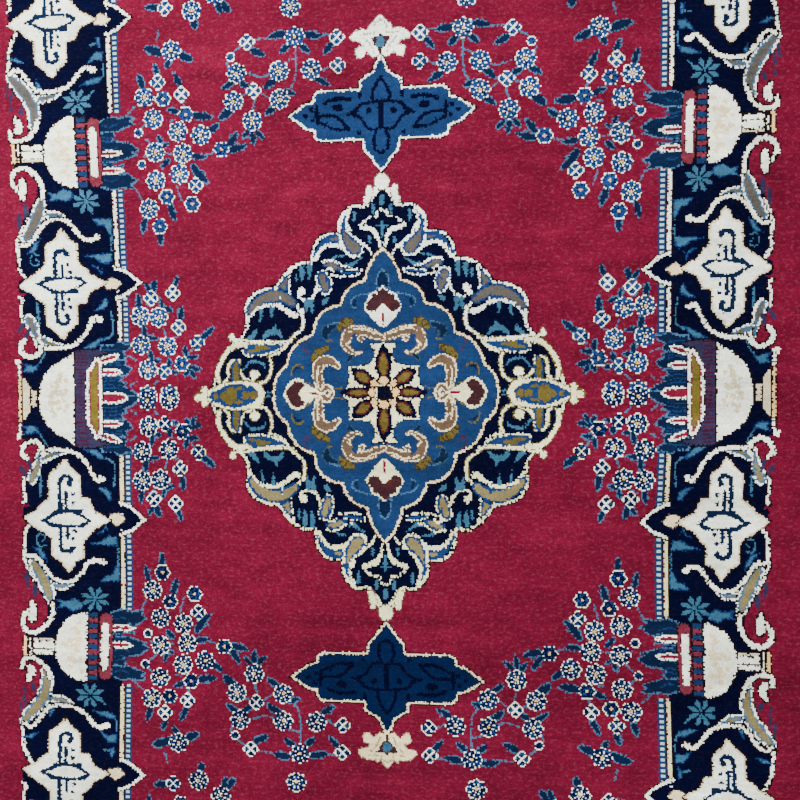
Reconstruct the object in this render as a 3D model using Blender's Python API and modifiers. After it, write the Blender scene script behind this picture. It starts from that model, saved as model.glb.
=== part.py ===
# Hand-knotted rug lying flat: the pile body, an overcast cord along each side and a fringe at each end.
# Metres. +Y runs along the rug, +Z is up, and the underside rests on z = 0.
import math

import bmesh
import bpy

# Pile body: knots and woven ground in one thickness
BODY_WIDTH = 1.354
BODY_LENGTH = 2.100
BODY_THICKNESS = 0.010
BODY_ROUNDING = 0.003

# The hand-woven sides draw in a little, most of all just short of the middle of the rug
WAIST_DEPTH = 0.011
WAIST_CENTRE = -0.145
WAIST_REACH = 0.600
LENGTH_STEPS = 36

# Side cords
CORD_WIDTH = 0.008
CORD_HEIGHT = 0.008
CORD_ROUNDING = 0.0035

# Fringed ends: a flat-woven strip with bundles of warp ends lying beyond it
STRIP_DEPTH = 0.016
FRINGE_THICKNESS = 0.003
STRAND_COUNT = 130
STRAND_LENGTH = 0.056
STRAND_STEPS = 4
STRAND_ROOT_WIDTH = 0.0056
STRAND_TIP_WIDTH = 0.0034
STRAND_DRIFT = 0.0045
STRAND_UNEVEN = 0.005

# Neighbouring pieces stay this far apart
GAP = 0.0003
ROUNDING_SEGMENTS = 3

MATERIALS = {
    "wool_pile": {"color": (0.330, 0.020, 0.060, 1.0), "roughness": 0.90},
    "wool_overcast": {"color": (0.180, 0.012, 0.030, 1.0), "roughness": 0.85},
    "cotton_warp": {"color": (0.700, 0.660, 0.540, 1.0), "roughness": 0.80},
}


def clear_scene():
    for obj in list(bpy.data.objects):
        bpy.data.objects.remove(obj, do_unlink=True)


def make_material(name):
    look = MATERIALS[name]
    material = bpy.data.materials.new(name)
    material.use_nodes = True
    shader = material.node_tree.nodes["Principled BSDF"]
    shader.inputs["Base Color"].default_value = look["color"]
    shader.inputs["Roughness"].default_value = look["roughness"]
    shader.inputs["Metallic"].default_value = 0.0
    return material


def add_object(name, bm, material, collection):
    bmesh.ops.recalc_face_normals(bm, faces=bm.faces)
    mesh = bpy.data.meshes.new(name)
    bm.to_mesh(mesh)
    bm.free()
    mesh.materials.append(material)
    obj = bpy.data.objects.new(name, mesh)
    collection.objects.link(obj)
    return obj


def waist(y):
    # How far each side is drawn in at this place along the rug
    return WAIST_DEPTH * max(0.0, 1.0 - ((y - WAIST_CENTRE) / WAIST_REACH) ** 2) ** 2


def make_bar(name, x_low, x_high, height, rounding, material, collection):
    # A full-length bar with a flat underside, a rounded top rim and sides that follow the waist
    bm = bmesh.new()
    bmesh.ops.create_cube(bm, size=1.0)
    bmesh.ops.scale(bm, vec=(x_high - x_low, BODY_LENGTH, height), verts=bm.verts)
    middle = ((x_low + x_high) / 2.0, 0.0, height / 2.0)
    bmesh.ops.translate(bm, vec=middle, verts=bm.verts)

    long_edges = [e for e in bm.edges if abs(e.verts[0].co.y - e.verts[1].co.y) > BODY_LENGTH / 2.0]
    bmesh.ops.subdivide_edges(bm, edges=long_edges, cuts=LENGTH_STEPS - 1, use_grid_fill=True)
    for vert in bm.verts:
        vert.co.x -= math.copysign(waist(vert.co.y), vert.co.x)

    rim = []
    for edge in bm.edges:
        on_top = all(abs(v.co.z - height) < GAP for v in edge.verts)
        outer = any(abs(face.normal.z) < 0.5 for face in edge.link_faces)
        if on_top and outer:
            rim.append(edge)
    bmesh.ops.bevel(bm, geom=rim, offset=rounding, offset_type="OFFSET", affect="EDGES",
                    segments=ROUNDING_SEGMENTS, profile=0.5, clamp_overlap=True, material=-1)
    return add_object(name, bm, material, collection)


def strand_centre(index):
    pitch = BODY_WIDTH / STRAND_COUNT
    return -BODY_WIDTH / 2.0 + pitch * (index + 0.5)


def strand_drift(x, share):
    # Sideways lie of the strand at this share of its length: neighbours lean alike
    lean = 0.7 * math.sin(9.0 * x + 0.8) + 0.3 * math.sin(31.0 * x)
    return STRAND_DRIFT * lean * share ** 1.5


def strand_length(index):
    return STRAND_LENGTH - STRAND_UNEVEN * (0.5 + 0.5 * math.sin(2.4 * index) * math.cos(0.37 * index))


def make_fringe(name, side, material, collection):
    # side is 1 for the far end and -1 for the near end
    columns = 2 * STRAND_COUNT + 1
    root = BODY_LENGTH / 2.0 + GAP
    bm = bmesh.new()
    bmesh.ops.create_grid(bm, x_segments=columns, y_segments=1, size=0.5)

    # Even columns of the strip are gaps between strands and odd ones are strand roots
    for vert in bm.verts:
        column = round((vert.co.x + 0.5) * columns)
        outward = vert.co.y > 0.0
        if column in (0, columns):
            vert.co.x = math.copysign(BODY_WIDTH / 2.0, vert.co.x)
        else:
            edge_side = -1.0 if column % 2 else 1.0
            centre = strand_centre((column - 1) // 2)
            vert.co.x = centre + edge_side * STRAND_ROOT_WIDTH / 2.0
        vert.co.y = side * (root + (STRIP_DEPTH if outward else 0.0))

    outer_y = side * (root + STRIP_DEPTH)
    outer_edges = [e for e in bm.edges if all(abs(v.co.y - outer_y) < GAP / 2.0 for v in e.verts)]
    outer_edges.sort(key=lambda e: e.verts[0].co.x + e.verts[1].co.x)
    for index, edge in enumerate(outer_edges[1::2]):
        centre = strand_centre(index)
        length = strand_length(index)
        for step in range(1, STRAND_STEPS + 1):
            share = step / STRAND_STEPS
            grown = bmesh.ops.extrude_edge_only(bm, edges=[edge])["geom"]
            new_verts = [item for item in grown if isinstance(item, bmesh.types.BMVert)]
            left, right = sorted(new_verts, key=lambda v: v.co.x)
            width = STRAND_ROOT_WIDTH + (STRAND_TIP_WIDTH - STRAND_ROOT_WIDTH) * share
            middle = centre + strand_drift(centre, share)
            left.co.x = middle - width / 2.0
            right.co.x = middle + width / 2.0
            left.co.y = side * (root + STRIP_DEPTH + length * share)
            right.co.y = left.co.y
            edge = bm.edges.get((left, right))

    obj = add_object(name, bm, material, collection)
    flip = obj.data.polygons[0].normal.z < 0.0
    solid = obj.modifiers.new("thickness", "SOLIDIFY")
    solid.thickness = FRINGE_THICKNESS
    solid.offset = -1.0 if flip else 1.0
    return obj


def build():
    clear_scene()
    collection = bpy.data.collections.new("persian_rug")
    bpy.context.scene.collection.children.link(collection)
    pile = make_material("wool_pile")
    overcast = make_material("wool_overcast")
    warp = make_material("cotton_warp")

    half = BODY_WIDTH / 2.0
    cord_inner = half + GAP
    cord_outer = cord_inner + CORD_WIDTH
    make_bar("rug_body", -half, half, BODY_THICKNESS, BODY_ROUNDING, pile, collection)
    make_bar("selvedge_left", -cord_outer, -cord_inner, CORD_HEIGHT, CORD_ROUNDING, overcast, collection)
    make_bar("selvedge_right", cord_inner, cord_outer, CORD_HEIGHT, CORD_ROUNDING, overcast, collection)
    make_fringe("fringe_far", 1, warp, collection)
    make_fringe("fringe_near", -1, warp, collection)


build()
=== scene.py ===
# A hand-knotted wool rug with a medallion, vases and flowers: pile, overcast sides and cotton fringe.
# The drawing is worked out knot by knot, in mm, and then laid onto the pile as dyed wool.
import math
import random

import bmesh
import bpy
import numpy as np
from mathutils import Matrix, Vector


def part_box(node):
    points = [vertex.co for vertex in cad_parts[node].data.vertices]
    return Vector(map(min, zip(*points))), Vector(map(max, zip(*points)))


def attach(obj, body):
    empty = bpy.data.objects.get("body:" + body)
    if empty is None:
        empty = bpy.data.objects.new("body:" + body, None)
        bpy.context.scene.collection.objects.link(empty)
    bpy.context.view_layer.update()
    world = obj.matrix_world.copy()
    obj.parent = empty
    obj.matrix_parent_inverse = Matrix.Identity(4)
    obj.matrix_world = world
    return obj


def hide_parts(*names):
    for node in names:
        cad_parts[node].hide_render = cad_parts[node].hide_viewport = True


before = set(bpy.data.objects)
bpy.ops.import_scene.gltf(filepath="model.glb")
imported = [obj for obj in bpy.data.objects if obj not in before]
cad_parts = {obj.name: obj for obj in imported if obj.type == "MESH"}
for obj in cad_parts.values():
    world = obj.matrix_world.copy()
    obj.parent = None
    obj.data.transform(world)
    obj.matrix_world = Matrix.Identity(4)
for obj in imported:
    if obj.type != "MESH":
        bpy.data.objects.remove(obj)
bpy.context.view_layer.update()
scene = bpy.context.scene
print("rug: frame loaded,", len(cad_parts), "nodes")

rug = {
    "width": 1354.0, "length": 2100.0, "cols": 644, "rows": 1000,    # mm, and how many knots across and along
    "stray": 0.62, "strayMost": 1.4,    # mm that a knot is out of its place, as a rule and at most
    "sewn": 0.0003,    # metres, from the pile to what is sewn along it
}
guardX = 440.0     # from the middle of the rug to the border along each side, mm
guardY = 814.0     # and to the one across each end
borderWide = 148.0
spare = 4.0        # mm round each shape that is drawn, more than any knot strays

dyeColours = {    # each dye as the wool looks by daylight, save the darker blue of the lower pendant, which is painted shade; the bare field is the first of them
    "madder": "600E26", "navy": "02041E", "ivory": "F6FAE6", "brown": "180C0C", "blue": "162F54",
    "blueInShade": "051636", "sky": "305A72", "teal": "0A1A34", "slate": "3A5E7C", "azure": "1A3868",
    "ink": "040C30", "olive": "584E22", "taupe": "4E4A44", "khaki": "9C8C64", "camel": "5C4A3A",
    "cream": "EAD8A8", "peach": "E8BC7C", "maroon": "341C20", "scarlet": "6A102A", "plum": "3A1E38",
    "wine": "3C1024", "umber": "302A1C", "sage": "28424E", "russet": "481C18", "sand": "D4C6A2",
    "denim": "16305A", "rust": "682634", "bronze": "62581E", "violet": "2A2640", "straw": "EAE8B4",
    "moss": "766C48", "mist": "A8C0C0", "stone": "A49E8E", "maize": "DED69E",
}
dye = {name: index for index, name in enumerate(dyeColours)}

knotCols, knotRows = rug["cols"], rug["rows"]
knotX = (np.arange(knotCols) + 0.5) * rug["width"] / knotCols - rug["width"] / 2
knotY = (np.arange(knotRows) + 0.5) * rug["length"] / knotRows - rug["length"] / 2
chart = np.zeros((knotRows, knotCols), np.uint8)
ragged = np.random.default_rng(3).normal(0, rug["stray"], (knotRows, knotCols))
ragged = ragged.clip(-rug["strayMost"], rug["strayMost"])    # mm, how far each knot is out of its place


def moved(pen, at=(0, 0), turn=0, flip=(1, 1)):    # a pen is where and which way round a motif is drawn
    c, s = math.cos(math.radians(turn)), math.sin(math.radians(turn))
    return pen @ np.array([[c * flip[0], -s * flip[1], at[0]], [s * flip[0], c * flip[1], at[1]], [0, 0, 1]])


def foldedAt(pen, y):    # a pen's mirror image across a line at that y
    return moved(pen, (0, 2 * y), flip=(1, -1))


def bothSides(pen, axis=0):    # a pen and its mirror image across the y axis, or across the x axis
    return [moved(pen, flip=(side, 1) if axis == 0 else (1, side)) for side in (1, -1)]


# The knots that a shape can reach, and their places on the motif's own axes
def knotsNear(pen, points, margin):
    reach = np.array(points)[:, :2]
    low, high = reach.min(0) - margin, reach.max(0) + margin
    corners = np.array([[x, y, 1] for x in (low[0], high[0]) for y in (low[1], high[1])]) @ pen.T
    cols = slice(*np.searchsorted(knotX, (corners[:, 0].min(), corners[:, 0].max())))
    rows = slice(*np.searchsorted(knotY, (corners[:, 1].min(), corners[:, 1].max())))
    x, y = np.meshgrid(knotX[cols], knotY[rows])
    back = np.linalg.inv(pen)
    ownX, ownY = (back[row, 0] * x + back[row, 1] * y + back[row, 2] for row in (0, 1))
    return rows, cols, ownX, ownY


def knotIn(rows, cols, away, bands):    # bands are (how far in from the rim, dye) from the outside inwards
    part = chart[rows, cols]
    strayed = away + ragged[rows, cols]
    for inset, name in bands:
        part[strayed < -inset] = dye[name]


# A closed outline: each point is x, y and how far the stretch after it swells outwards
def bowed(points, steps=6):
    turns = sum(a[0] * b[1] - b[0] * a[1] for a, b in zip(points, points[1:] + points[:1]))
    way = math.copysign(4, turns)
    path = []
    for here, ahead in zip(points, points[1:] + points[:1]):
        bow = here[2] if len(here) > 2 else 0
        dx, dy = ahead[0] - here[0], ahead[1] - here[1]
        for step in range(steps if bow else 1):
            t = step / steps
            swell = way * bow * t * (1 - t)
            path.append((here[0] + dx * t + dy * swell, here[1] + dy * t - dx * swell))
    return path


def twin(points, axis=0):    # half an outline from the middle line round to it again, with its mirror image
    bows = [p[2] if len(p) > 2 else 0 for p in points]
    back = []
    for index in range(len(points) - 2, 0, -1):
        x, y = points[index][:2]
        back.append((-x, y, bows[index - 1]) if axis == 0 else (x, -y, bows[index - 1]))
    last = (*points[-1][:2], bows[-2])
    return list(points[:-1]) + [last] + back


def softened(points, steps=5):    # a smooth line through x, y, half width
    p = np.array(points, float)
    p = np.vstack([2 * p[0] - p[1], p, 2 * p[-1] - p[-2]])
    line = []
    for a, b, c, d in zip(p, p[1:], p[2:], p[3:]):
        for step in range(steps):
            t = step / steps
            line.append(0.5 * (2 * b + (c - a) * t + (2 * a - 5 * b + 4 * c - d) * t ** 2
                               + (3 * b - 3 * c + d - a) * t ** 3))
    return line + [p[-2]]


def area(pen, points, *bands):    # a filled outline
    path = bowed(list(points))
    rows, cols, x, y = knotsNear(pen, path, spare - min(b[0] for b in bands))
    near = np.full(x.shape, 1e9)
    inside = np.zeros(x.shape, bool)
    for (ax, ay), (bx, by) in zip(path, path[1:] + path[:1]):
        dx, dy = bx - ax, by - ay
        t = np.clip(((x - ax) * dx + (y - ay) * dy) / (dx * dx + dy * dy + 1e-9), 0, 1)
        near = np.minimum(near, (x - ax - t * dx) ** 2 + (y - ay - t * dy) ** 2)
        if dy:
            inside ^= ((ay > y) != (by > y)) & (x < ax + (y - ay) * dx / dy)
    knotIn(rows, cols, np.where(inside, -np.sqrt(near), np.sqrt(near)), bands)


def line(pen, points, *bands):    # a stroke, leaf or scroll: x, y and half width along its middle
    path = softened([p if len(p) > 2 else (*p, 1.6) for p in points])
    rows, cols, x, y = knotsNear(pen, path, spare + max(p[2] for p in path) - min(b[0] for b in bands))
    near = np.full(x.shape, 1e9)
    for (ax, ay, aw), (bx, by, bw) in zip(path, path[1:]):
        dx, dy = bx - ax, by - ay
        t = np.clip(((x - ax) * dx + (y - ay) * dy) / (dx * dx + dy * dy + 1e-9), 0, 1)
        near = np.minimum(near, np.hypot(x - ax - t * dx, y - ay - t * dy) - aw - t * (bw - aw))
    knotIn(rows, cols, near, bands)


def strokes(pen, bands, *paths):    # several strokes of the same wools; a plain one has only a name
    for points in paths:
        line(pen, points, *([(0, bands)] if isinstance(bands, str) else bands))


def spot(pen, x0, y0, rx, ry, *bands):    # an oval
    rows, cols, x, y = knotsNear(pen, [(x0 - rx, y0 - ry), (x0 + rx, y0 + ry)],
                                 spare - min(b[0] for b in bands))
    far = np.hypot((x - x0) / rx, (y - y0) / ry)
    knotIn(rows, cols, (far - 1) * min(rx, ry), bands)


def bar(pen, x0, x1, y0, y1, name):
    area(pen, [(x0, y0), (x1, y0), (x1, y1), (x0, y1)], (0, name))


blossomKinds = {    # mm; a petal reaches from the eye to the rim
    "rose": {"radius": 15.6, "scallop": 1.2, "rim": 0.6, "petals": 8, "gap": 0.52, "eye": 3.6, "heart": 2.3},
    "star": {"radius": 12.4, "scallop": 1.2, "rim": 1.3, "petals": 6, "gap": 0.0, "eye": 0.0, "heart": 2.4},
    "cross": {"radius": 11.4, "scallop": 1.6, "rim": 1.0, "petals": 4, "gap": 1.05, "eye": 1.0, "heart": 0.0},
    "bud": {"radius": 7.4, "scallop": 0.0, "rim": 1.6, "petals": 1, "gap": 0.0, "eye": 0.0, "heart": 0.0},
}


# How ragged a petal is, and how far a tuft strays, in mm, where it is of the other blue
petalWool = {"strays": 0.3, "otherBlue": 0.45}


def blossom(pen, kind):    # round petals on a scalloped white ground, a black ring and a peach heart
    size = blossomKinds[kind]
    r, share, eye = size["radius"], math.pi / size["petals"], size["eye"]
    rows, cols, x, y = knotsNear(pen, [(-r, -r), (r, r)], spare)
    far, angle = np.hypot(x, y) + ragged[rows, cols] * petalWool["strays"], np.arctan2(y, x)
    off = (angle + share) % (2 * share) - share
    edge = r + size["scallop"] * np.cos(math.pi * off / share)
    long, middle = (r - size["rim"] - eye) / 2, (r - size["rim"] + eye) / 2
    petal = (np.abs(far - middle) / long) ** 3 + (np.abs(off) / share) ** 3 < 1
    if eye:
        petal &= far * np.sin(share - np.abs(off)) > size["gap"]    # white between the petals
    else:
        petal = far < edge - size["rim"]
    wools = ("azure", "ink") if pen[1, 2] > 0 else ("ink", "azure")
    part = chart[rows, cols]
    part[far < edge] = dye["ivory"]
    part[(far < eye) & (size["heart"] > 0)] = dye["brown"]
    part[petal] = dye[wools[0]]
    part[petal & (ragged[rows, cols] > petalWool["otherBlue"])] = dye[wools[1]]
    if size["heart"]:
        cross = np.minimum(np.abs(x), np.abs(y)) < size["heart"] * 0.5
        part[cross & (far < size["heart"] * 1.1)] = dye["peach"]


leafShape = {"bend": 0.12, "barbAlong": 0.10, "barbOut": 0.30}    # shares of a leaf's length


def leaf(pen, x0, y0, x1, y1, wide):    # from its stalk end to its tip, with a barb on its hollow side
    bend, along, out = leafShape["bend"], leafShape["barbAlong"], leafShape["barbOut"]
    mx, my = (x0 + x1) / 2 - bend * (y1 - y0), (y0 + y1) / 2 + bend * (x1 - x0)
    barb = (mx + (x1 - x0) * along + (y1 - y0) * out, my + (y1 - y0) * along - (x1 - x0) * out, 0.9)
    for inset, name in ((-0.9, "slate"), (0.6, "teal")):
        line(pen, [(x0 * 0.7 + mx * 0.3, y0 * 0.7 + my * 0.3, wide * 0.5), barb], (inset, name))
        line(pen, [(x0, y0, wide * 0.66), ((x0 + mx) / 2, (y0 + my) / 2, wide),
                   ((mx + x1) / 2, (my + y1) / 2, wide * 0.74), (x1, y1, 0.8)], (inset, name))


# Field flowers of one quarter of the rug, mm from its middle
flowers = {    # x, y of those of each kind
    "rose": [(108, 515), (133, 567), (139, 614), (159, 471), (159, 515), (203, 439), (227, 515), (233, 471),
             (288, 420), (298, 617), (319, 392), (326, 360), (326, 427), (333, 556), (366, 351), (365, 396),
             (366, 449), (380, 306), (380, 484), (260, 641), (358, 83), (372, 131), (403, 86), (403, 133),
             (392, 46), (356, 4), (393, 4)],
    "star": [(255, 396), (312, 454), (307, 311), (349, 324), (349, 480), (363, 277), (334, 54), (329, 656)],
    "cross": [(66, 519), (67, 563), (200, 486), (209, 563), (300, 341), (318, 486), (342, 624), (357, 507),
              (347, 169), (384, 162), (338, 114), (307, 88), (364, 42)],
    "bud": [(236, 541), (388, 377), (392, 428)],
}

leaves = [    # stalk end x, y, tip x, y, half width
    (117, 571, 90, 567, 5.5), (150, 572, 174, 568, 5.5), (122, 553, 110, 542, 5.0), (143, 553, 156, 543, 5.0),
    (73, 554, 87, 537, 4.5), (100, 502, 79, 489, 5.0), (166, 500, 182, 488, 5.5), (149, 484, 133, 478, 4.5),
    (167, 457, 182, 446, 5.0), (220, 500, 205, 492, 4.5), (234, 500, 250, 490, 4.5),
    (201, 551, 181, 541, 5.5), (238, 457, 255, 443, 7.0), (196, 422, 184, 411, 4.0),
    (203, 422, 201, 401, 4.5), (210, 422, 219, 411, 4.0), (318, 550, 298, 541, 6.5),
    (350, 552, 379, 561, 7.0), (336, 539, 342, 530, 4.5), (320, 498, 331, 520, 4.5),
    (357, 518, 362, 536, 4.5), (383, 500, 389, 521, 4.8), (300, 453, 268, 449, 6.0),
    (325, 456, 342, 463, 4.5), (274, 426, 259, 437, 5.0), (244, 402, 229, 423, 5.0),
    (244, 395, 214, 402, 5.5), (355, 410, 360, 422, 3.6), (351, 406, 343, 409, 3.0),
    (302, 388, 280, 386, 4.5), (302, 371, 278, 344, 6.0), (343, 311, 336, 287, 5.5),
    (386, 289, 392, 267, 4.2), (362, 264, 362, 247, 4.8), (344, 382, 355, 370, 4.5),
    (294, 600, 292, 590, 6.0), (351, 624, 375, 626, 5.5), (250, 628, 235, 613, 6.5),
    (254, 626, 250, 611, 5.0), (384, 668, 382, 645, 5.0), (343, 181, 338, 196, 4.0),
    (384, 172, 376, 190, 6.0), (386, 174, 394, 186, 4.0), (364, 146, 348, 141, 4.0),
    (366, 147, 369, 160, 3.6), (406, 148, 407, 168, 4.8), (336, 126, 334, 149, 4.6), (299, 97, 280, 113, 5.0),
    (396, 99, 374, 97, 4.0), (397, 100, 400, 120, 4.4), (325, 66, 307, 66, 4.0), (327, 67, 330, 83, 4.0),
    (325, 48, 302, 46, 6.0), (318, 42, 311, 32, 4.0), (324, 42, 328, 34, 4.0), (353, 42, 341, 41, 3.6),
    (356, 52, 356, 62, 4.6), (385, 60, 370, 61, 3.8), (386, 60, 388, 77, 4.2),
]

stems = [    # short runs of knots that join the flowers
    [(80, 519), (90, 512)], [(78, 567), (90, 568)], [(133, 550), (132, 530), (134, 500), (142, 487)],
    [(134, 533), (150, 528)], [(174, 567), (195, 567)], [(170, 512), (185, 507), (205, 513)],
    [(177, 474), (186, 480)], [(212, 482), (222, 478)], [(198, 474), (202, 458)], [(240, 523), (243, 533)],
    [(220, 556), (230, 550)], [(314, 466), (316, 474)], [(268, 391), (280, 389)], [(338, 444), (330, 446)],
    [(338, 392), (348, 393)], [(325, 318), (332, 340)], [(392, 322), (400, 338)], [(396, 470), (412, 455)],
    [(380, 441), (388, 433)], [(383, 420), (372, 410)], [(384, 389), (380, 392)], [(338, 100), (350, 96)],
    [(360, 100), (364, 112)], [(384, 148), (392, 152)], [(314, 80), (320, 72)], [(374, 28), (382, 22)],
    [(413, 26), (422, 20)], [(412, 62), (424, 68)], [(356, 575), (352, 590)],
]


def fieldFlowers(pen, left, low, high, lean=(0, 0, 0)):    # those of one part of the tables
    def leant(x, y):    # how far out this corner's own flowers stand, by their place across
        return x + np.interp(x, (100, 200, 390), lean) * (y > 200)

    for stem in stems:
        if stem[0][0] > left and low < stem[0][1] < high:
            line(pen, [(leant(x, y), y, 1.3) for x, y in stem], (0, "slate"))
    for x0, y0, x1, y1, wide in leaves:
        if x0 > left and low < y0 < high:
            leaf(pen, leant(x0, y0), y0, leant(x1, y1), y1, wide)
    for kind, places in flowers.items():
        for x, y in places:
            if x > left and low < y < high:
                blossom(moved(pen, (leant(x, y), y)), kind)


leafBands = ((-1.3, "brown"), (0, "ivory"), (3.4, "slate"), (5.6, "taupe"))
goldLeafBands = ((0, "ivory"), (3.4, "slate"), (5.6, "olive"))
scrollBands = ((-1.6, "brown"), (0, "ivory"))
oliveEdge = ((-1.2, "olive"), (0, "ivory"))
thinOliveEdge = ((-1.0, "olive"), (0, "ivory"))
checkPitch = 8.4         # mm, a light and a dark check of the stripe along the field
cartoucheReach = 92.0    # mm, from the middle of a cartouche to each of its tips


# The cream line, its brown shadow and the checked stripe along one edge of the field
def guards(pen, long):
    lower = (pen @ (430, 10, 1))[1] < 0
    bar(pen, 422, 434.5, 0, long - 7, "blue")
    rows, cols, x, y = knotsNear(pen, [(424.6, 0), (430.6, long - 16)], 0)
    chart[rows, cols][y % checkPitch < checkPitch / 2] = dye["mist"]
    bar(pen, 433.5, 437, 0, long - 5, "brown")
    bar(pen, 436, 441.5, 0, long, "maize" if lower else "ivory")
    bar(pen, 441.5, 443.5, 0, long + 2, "brown")


def raised(points, rise):    # the middle of a cartouche lifted, its two tips left where they are
    return [(p[0], p[1] + rise * (1 - abs(p[1]) / cartoucheReach), *p[2:]) for p in points]


# Ivory lozenge with upright arms, its ink, its bud and the arrow into the field
def cartouche(pen, rise=0):
    area(pen, raised([(-78, 28), (-87, 24), (-102, 18), (-112, 9), (-124, 0), (-112, -11), (-99, -20),
                      (-87, -26), (-78, -28)], rise), (-1.6, "brown"), (0, "ivory"), (4.6, "navy"))
    area(pen, raised([(-82, 19), (-66, 30), (-60, 0), (-66, -30), (-82, -21)], rise), (0, "navy"))
    area(pen, raised([(-88, -1), (-81, 4), (-74, 9), (-68, 4), (-60, 0), (-66, -9), (-79, -10)], rise),
         (-1.2, "camel"), (0, "cream"))
    area(pen, raised([(-2, 91, 0.08), (-12, 73, 0), (-25, 65, 0), (-25, 35, 0.04), (-38, 22, 0),
                      (-43, 14, 0.04), (-66, 0, 0.04), (-44, -12, 0), (-38, -22, 0), (-35, -32, 0),
                      (-22, -34, 0), (-21, -66, 0), (-5, -81, 0.06), (1, -92, 0.06), (12, -80, 0),
                      (27, -67, 0), (28, -32, 0.04), (48, -14, 0.04), (67, -3, 0.04), (50, 13, 0.02),
                      (36, 22, 0), (25, 33, 0), (24, 65, 0), (9, 73, 0.08)], rise), (-2.0, "brown"),
         (0.2, "sand"), (2.6, "ivory"))
    area(pen, raised([(-38, 2), (-26, 12), (24, 13), (30, 7), (42, 1), (28, -6), (16, -16), (-24, -16),
                      (-23, -9)], rise), (0, "teal"))
    area(pen,
         raised([(-31, 2), (-17, 7.6), (-2, 8.4), (14, 6.4), (30, 1), (14, -8), (-2, -11), (-19, -6)], rise),
         (0, "ivory"))
    for strokes in ([(10, 12, 3.0), (10, 45, 3.2), (7, 53, 3.6), (-4, 54, 3.6), (-8, 49, 4.8)],
                    [(-1, 13, 2.6), (-0.5, 30, 2.8)],
                    [(10, -16, 3.2), (10, -54, 3.2), (6, -63, 3.4), (-2, -65, 3.4), (-8, -60, 3.0),
                     (-5, -53, 4.4)],
                    [(1, -16, 2.6), (1, -41, 3)]):
        line(pen, raised(strokes, rise), (0, "teal"))
    for x, y in raised([(-9, 32), (-12, 19), (-9, -25), (-10, -38)], rise):
        spot(pen, x, y, 3.2, 3.2, (0, "teal"))


def belly(pen, points, blots):    # a vase's body on its flat rim, ivory with blots of a second, sandier wool
    area(pen, twin(points, 1), (-1.8, "brown"), (0, "ivory"))
    draw = np.random.default_rng(blots["seed"])
    for blot in range(blots["count"]):
        x = blots["x"] + draw.normal(0, blots["spread"]) * 0.45
        y = blots["y"] + draw.normal(0, blots["spread"])
        if x > points[1][0] + 4 and np.hypot((x - points[1][0]) / 44, y / 52) < 0.9:
            spot(pen, x, y, draw.uniform(2, 5.5), draw.uniform(2, 5), (0, blots["wool"]))


def tulip(pen, long, wide, slant=0):
    line(moved(pen, turn=slant), [(0, 0, wide), (-long * 0.62, 0, wide), (-long, 0, wide * 0.25)],
         (0, "ivory"), (3.0, "scarlet"))


def frond(pen, *outlines):    # ragged dark leaves that stand out of a vase into the field
    for outline in outlines:
        area(pen, outline, (-1.5, "slate"), (0.6, "teal"))


def smallVase(pen):    # at the middle of a long stretch of border, drawn about its own middle line
    bar(pen, 416, 456, -64, 60, "madder")
    bar(pen, 440, 456, -66, 64, "navy")
    frond(pen, [(456, 46), (440, 53), (425, 50), (413, 53), (398, 50), (408, 45), (400, 40), (412, 36),
                (432, 29), (456, 29)],
          [(456, 27), (446, 28), (438, 30), (433, 24), (438, 16), (425, 12), (410, 11), (404, 7), (394, -1),
           (405, -6), (398, -9), (413, -13), (424, -17), (456, -20)],
          [(456, -22), (430, -26), (419, -24), (428, -32), (417, -38), (432, -41), (414, -38), (405, -46),
           (398, -50), (410, -55), (404, -63), (424, -60), (440, -64), (456, -58)])
    for y in (40, 22, 16, 4, -14, -20, -47):
        line(pen, [(452, y, 0.9), (440, y - 3, 1.1), (428, y + 2, 0.9)], (0, "blue"))
    for y, long in ((-5, 33), (-33, 35)):
        tulip(moved(pen, (455, y)), long, 5.4)
    line(pen, [(464, -48, 9), (464.5, 0, 10), (465, 44, 8.8)], (-1.4, "brown"), (0, "rust"))
    line(pen, [(465.5, -36, 5.2), (466, 0, 5.8), (466.5, 34, 5.0)], (-0.6, "brown"), (0, "ivory"))
    bar(pen, 475.5, 493, -58, 57, "brown")
    for rung in range(13):
        bar(pen, 477, 491, -57 + rung * 8.7, -50 + rung * 8.7, "blue" if rung % 2 == 0 else "rust")
    belly(pen, [(493, 0), (493, 58), (504, 57), (515, 52), (526, 43), (534, 30), (540, 15), (542, 0)],
          {"seed": 4, "count": 40, "x": 514, "y": -8, "spread": 26, "wool": "cream"})
    bar(pen, 542, 577, -15, 15, "brown")
    for low, high, name in ((-13.5, -10, "sand"), (-8.5, 3, "ivory"), (5, 13, "ivory")):
        bar(pen, 543, 574, low, high, name)
    bar(pen, 576, 591, -17, 17, "brown")
    bar(pen, 577.5, 580, -15, 15, "ivory")
    bar(pen, 584, 589, -16, 16, "peach")


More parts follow.
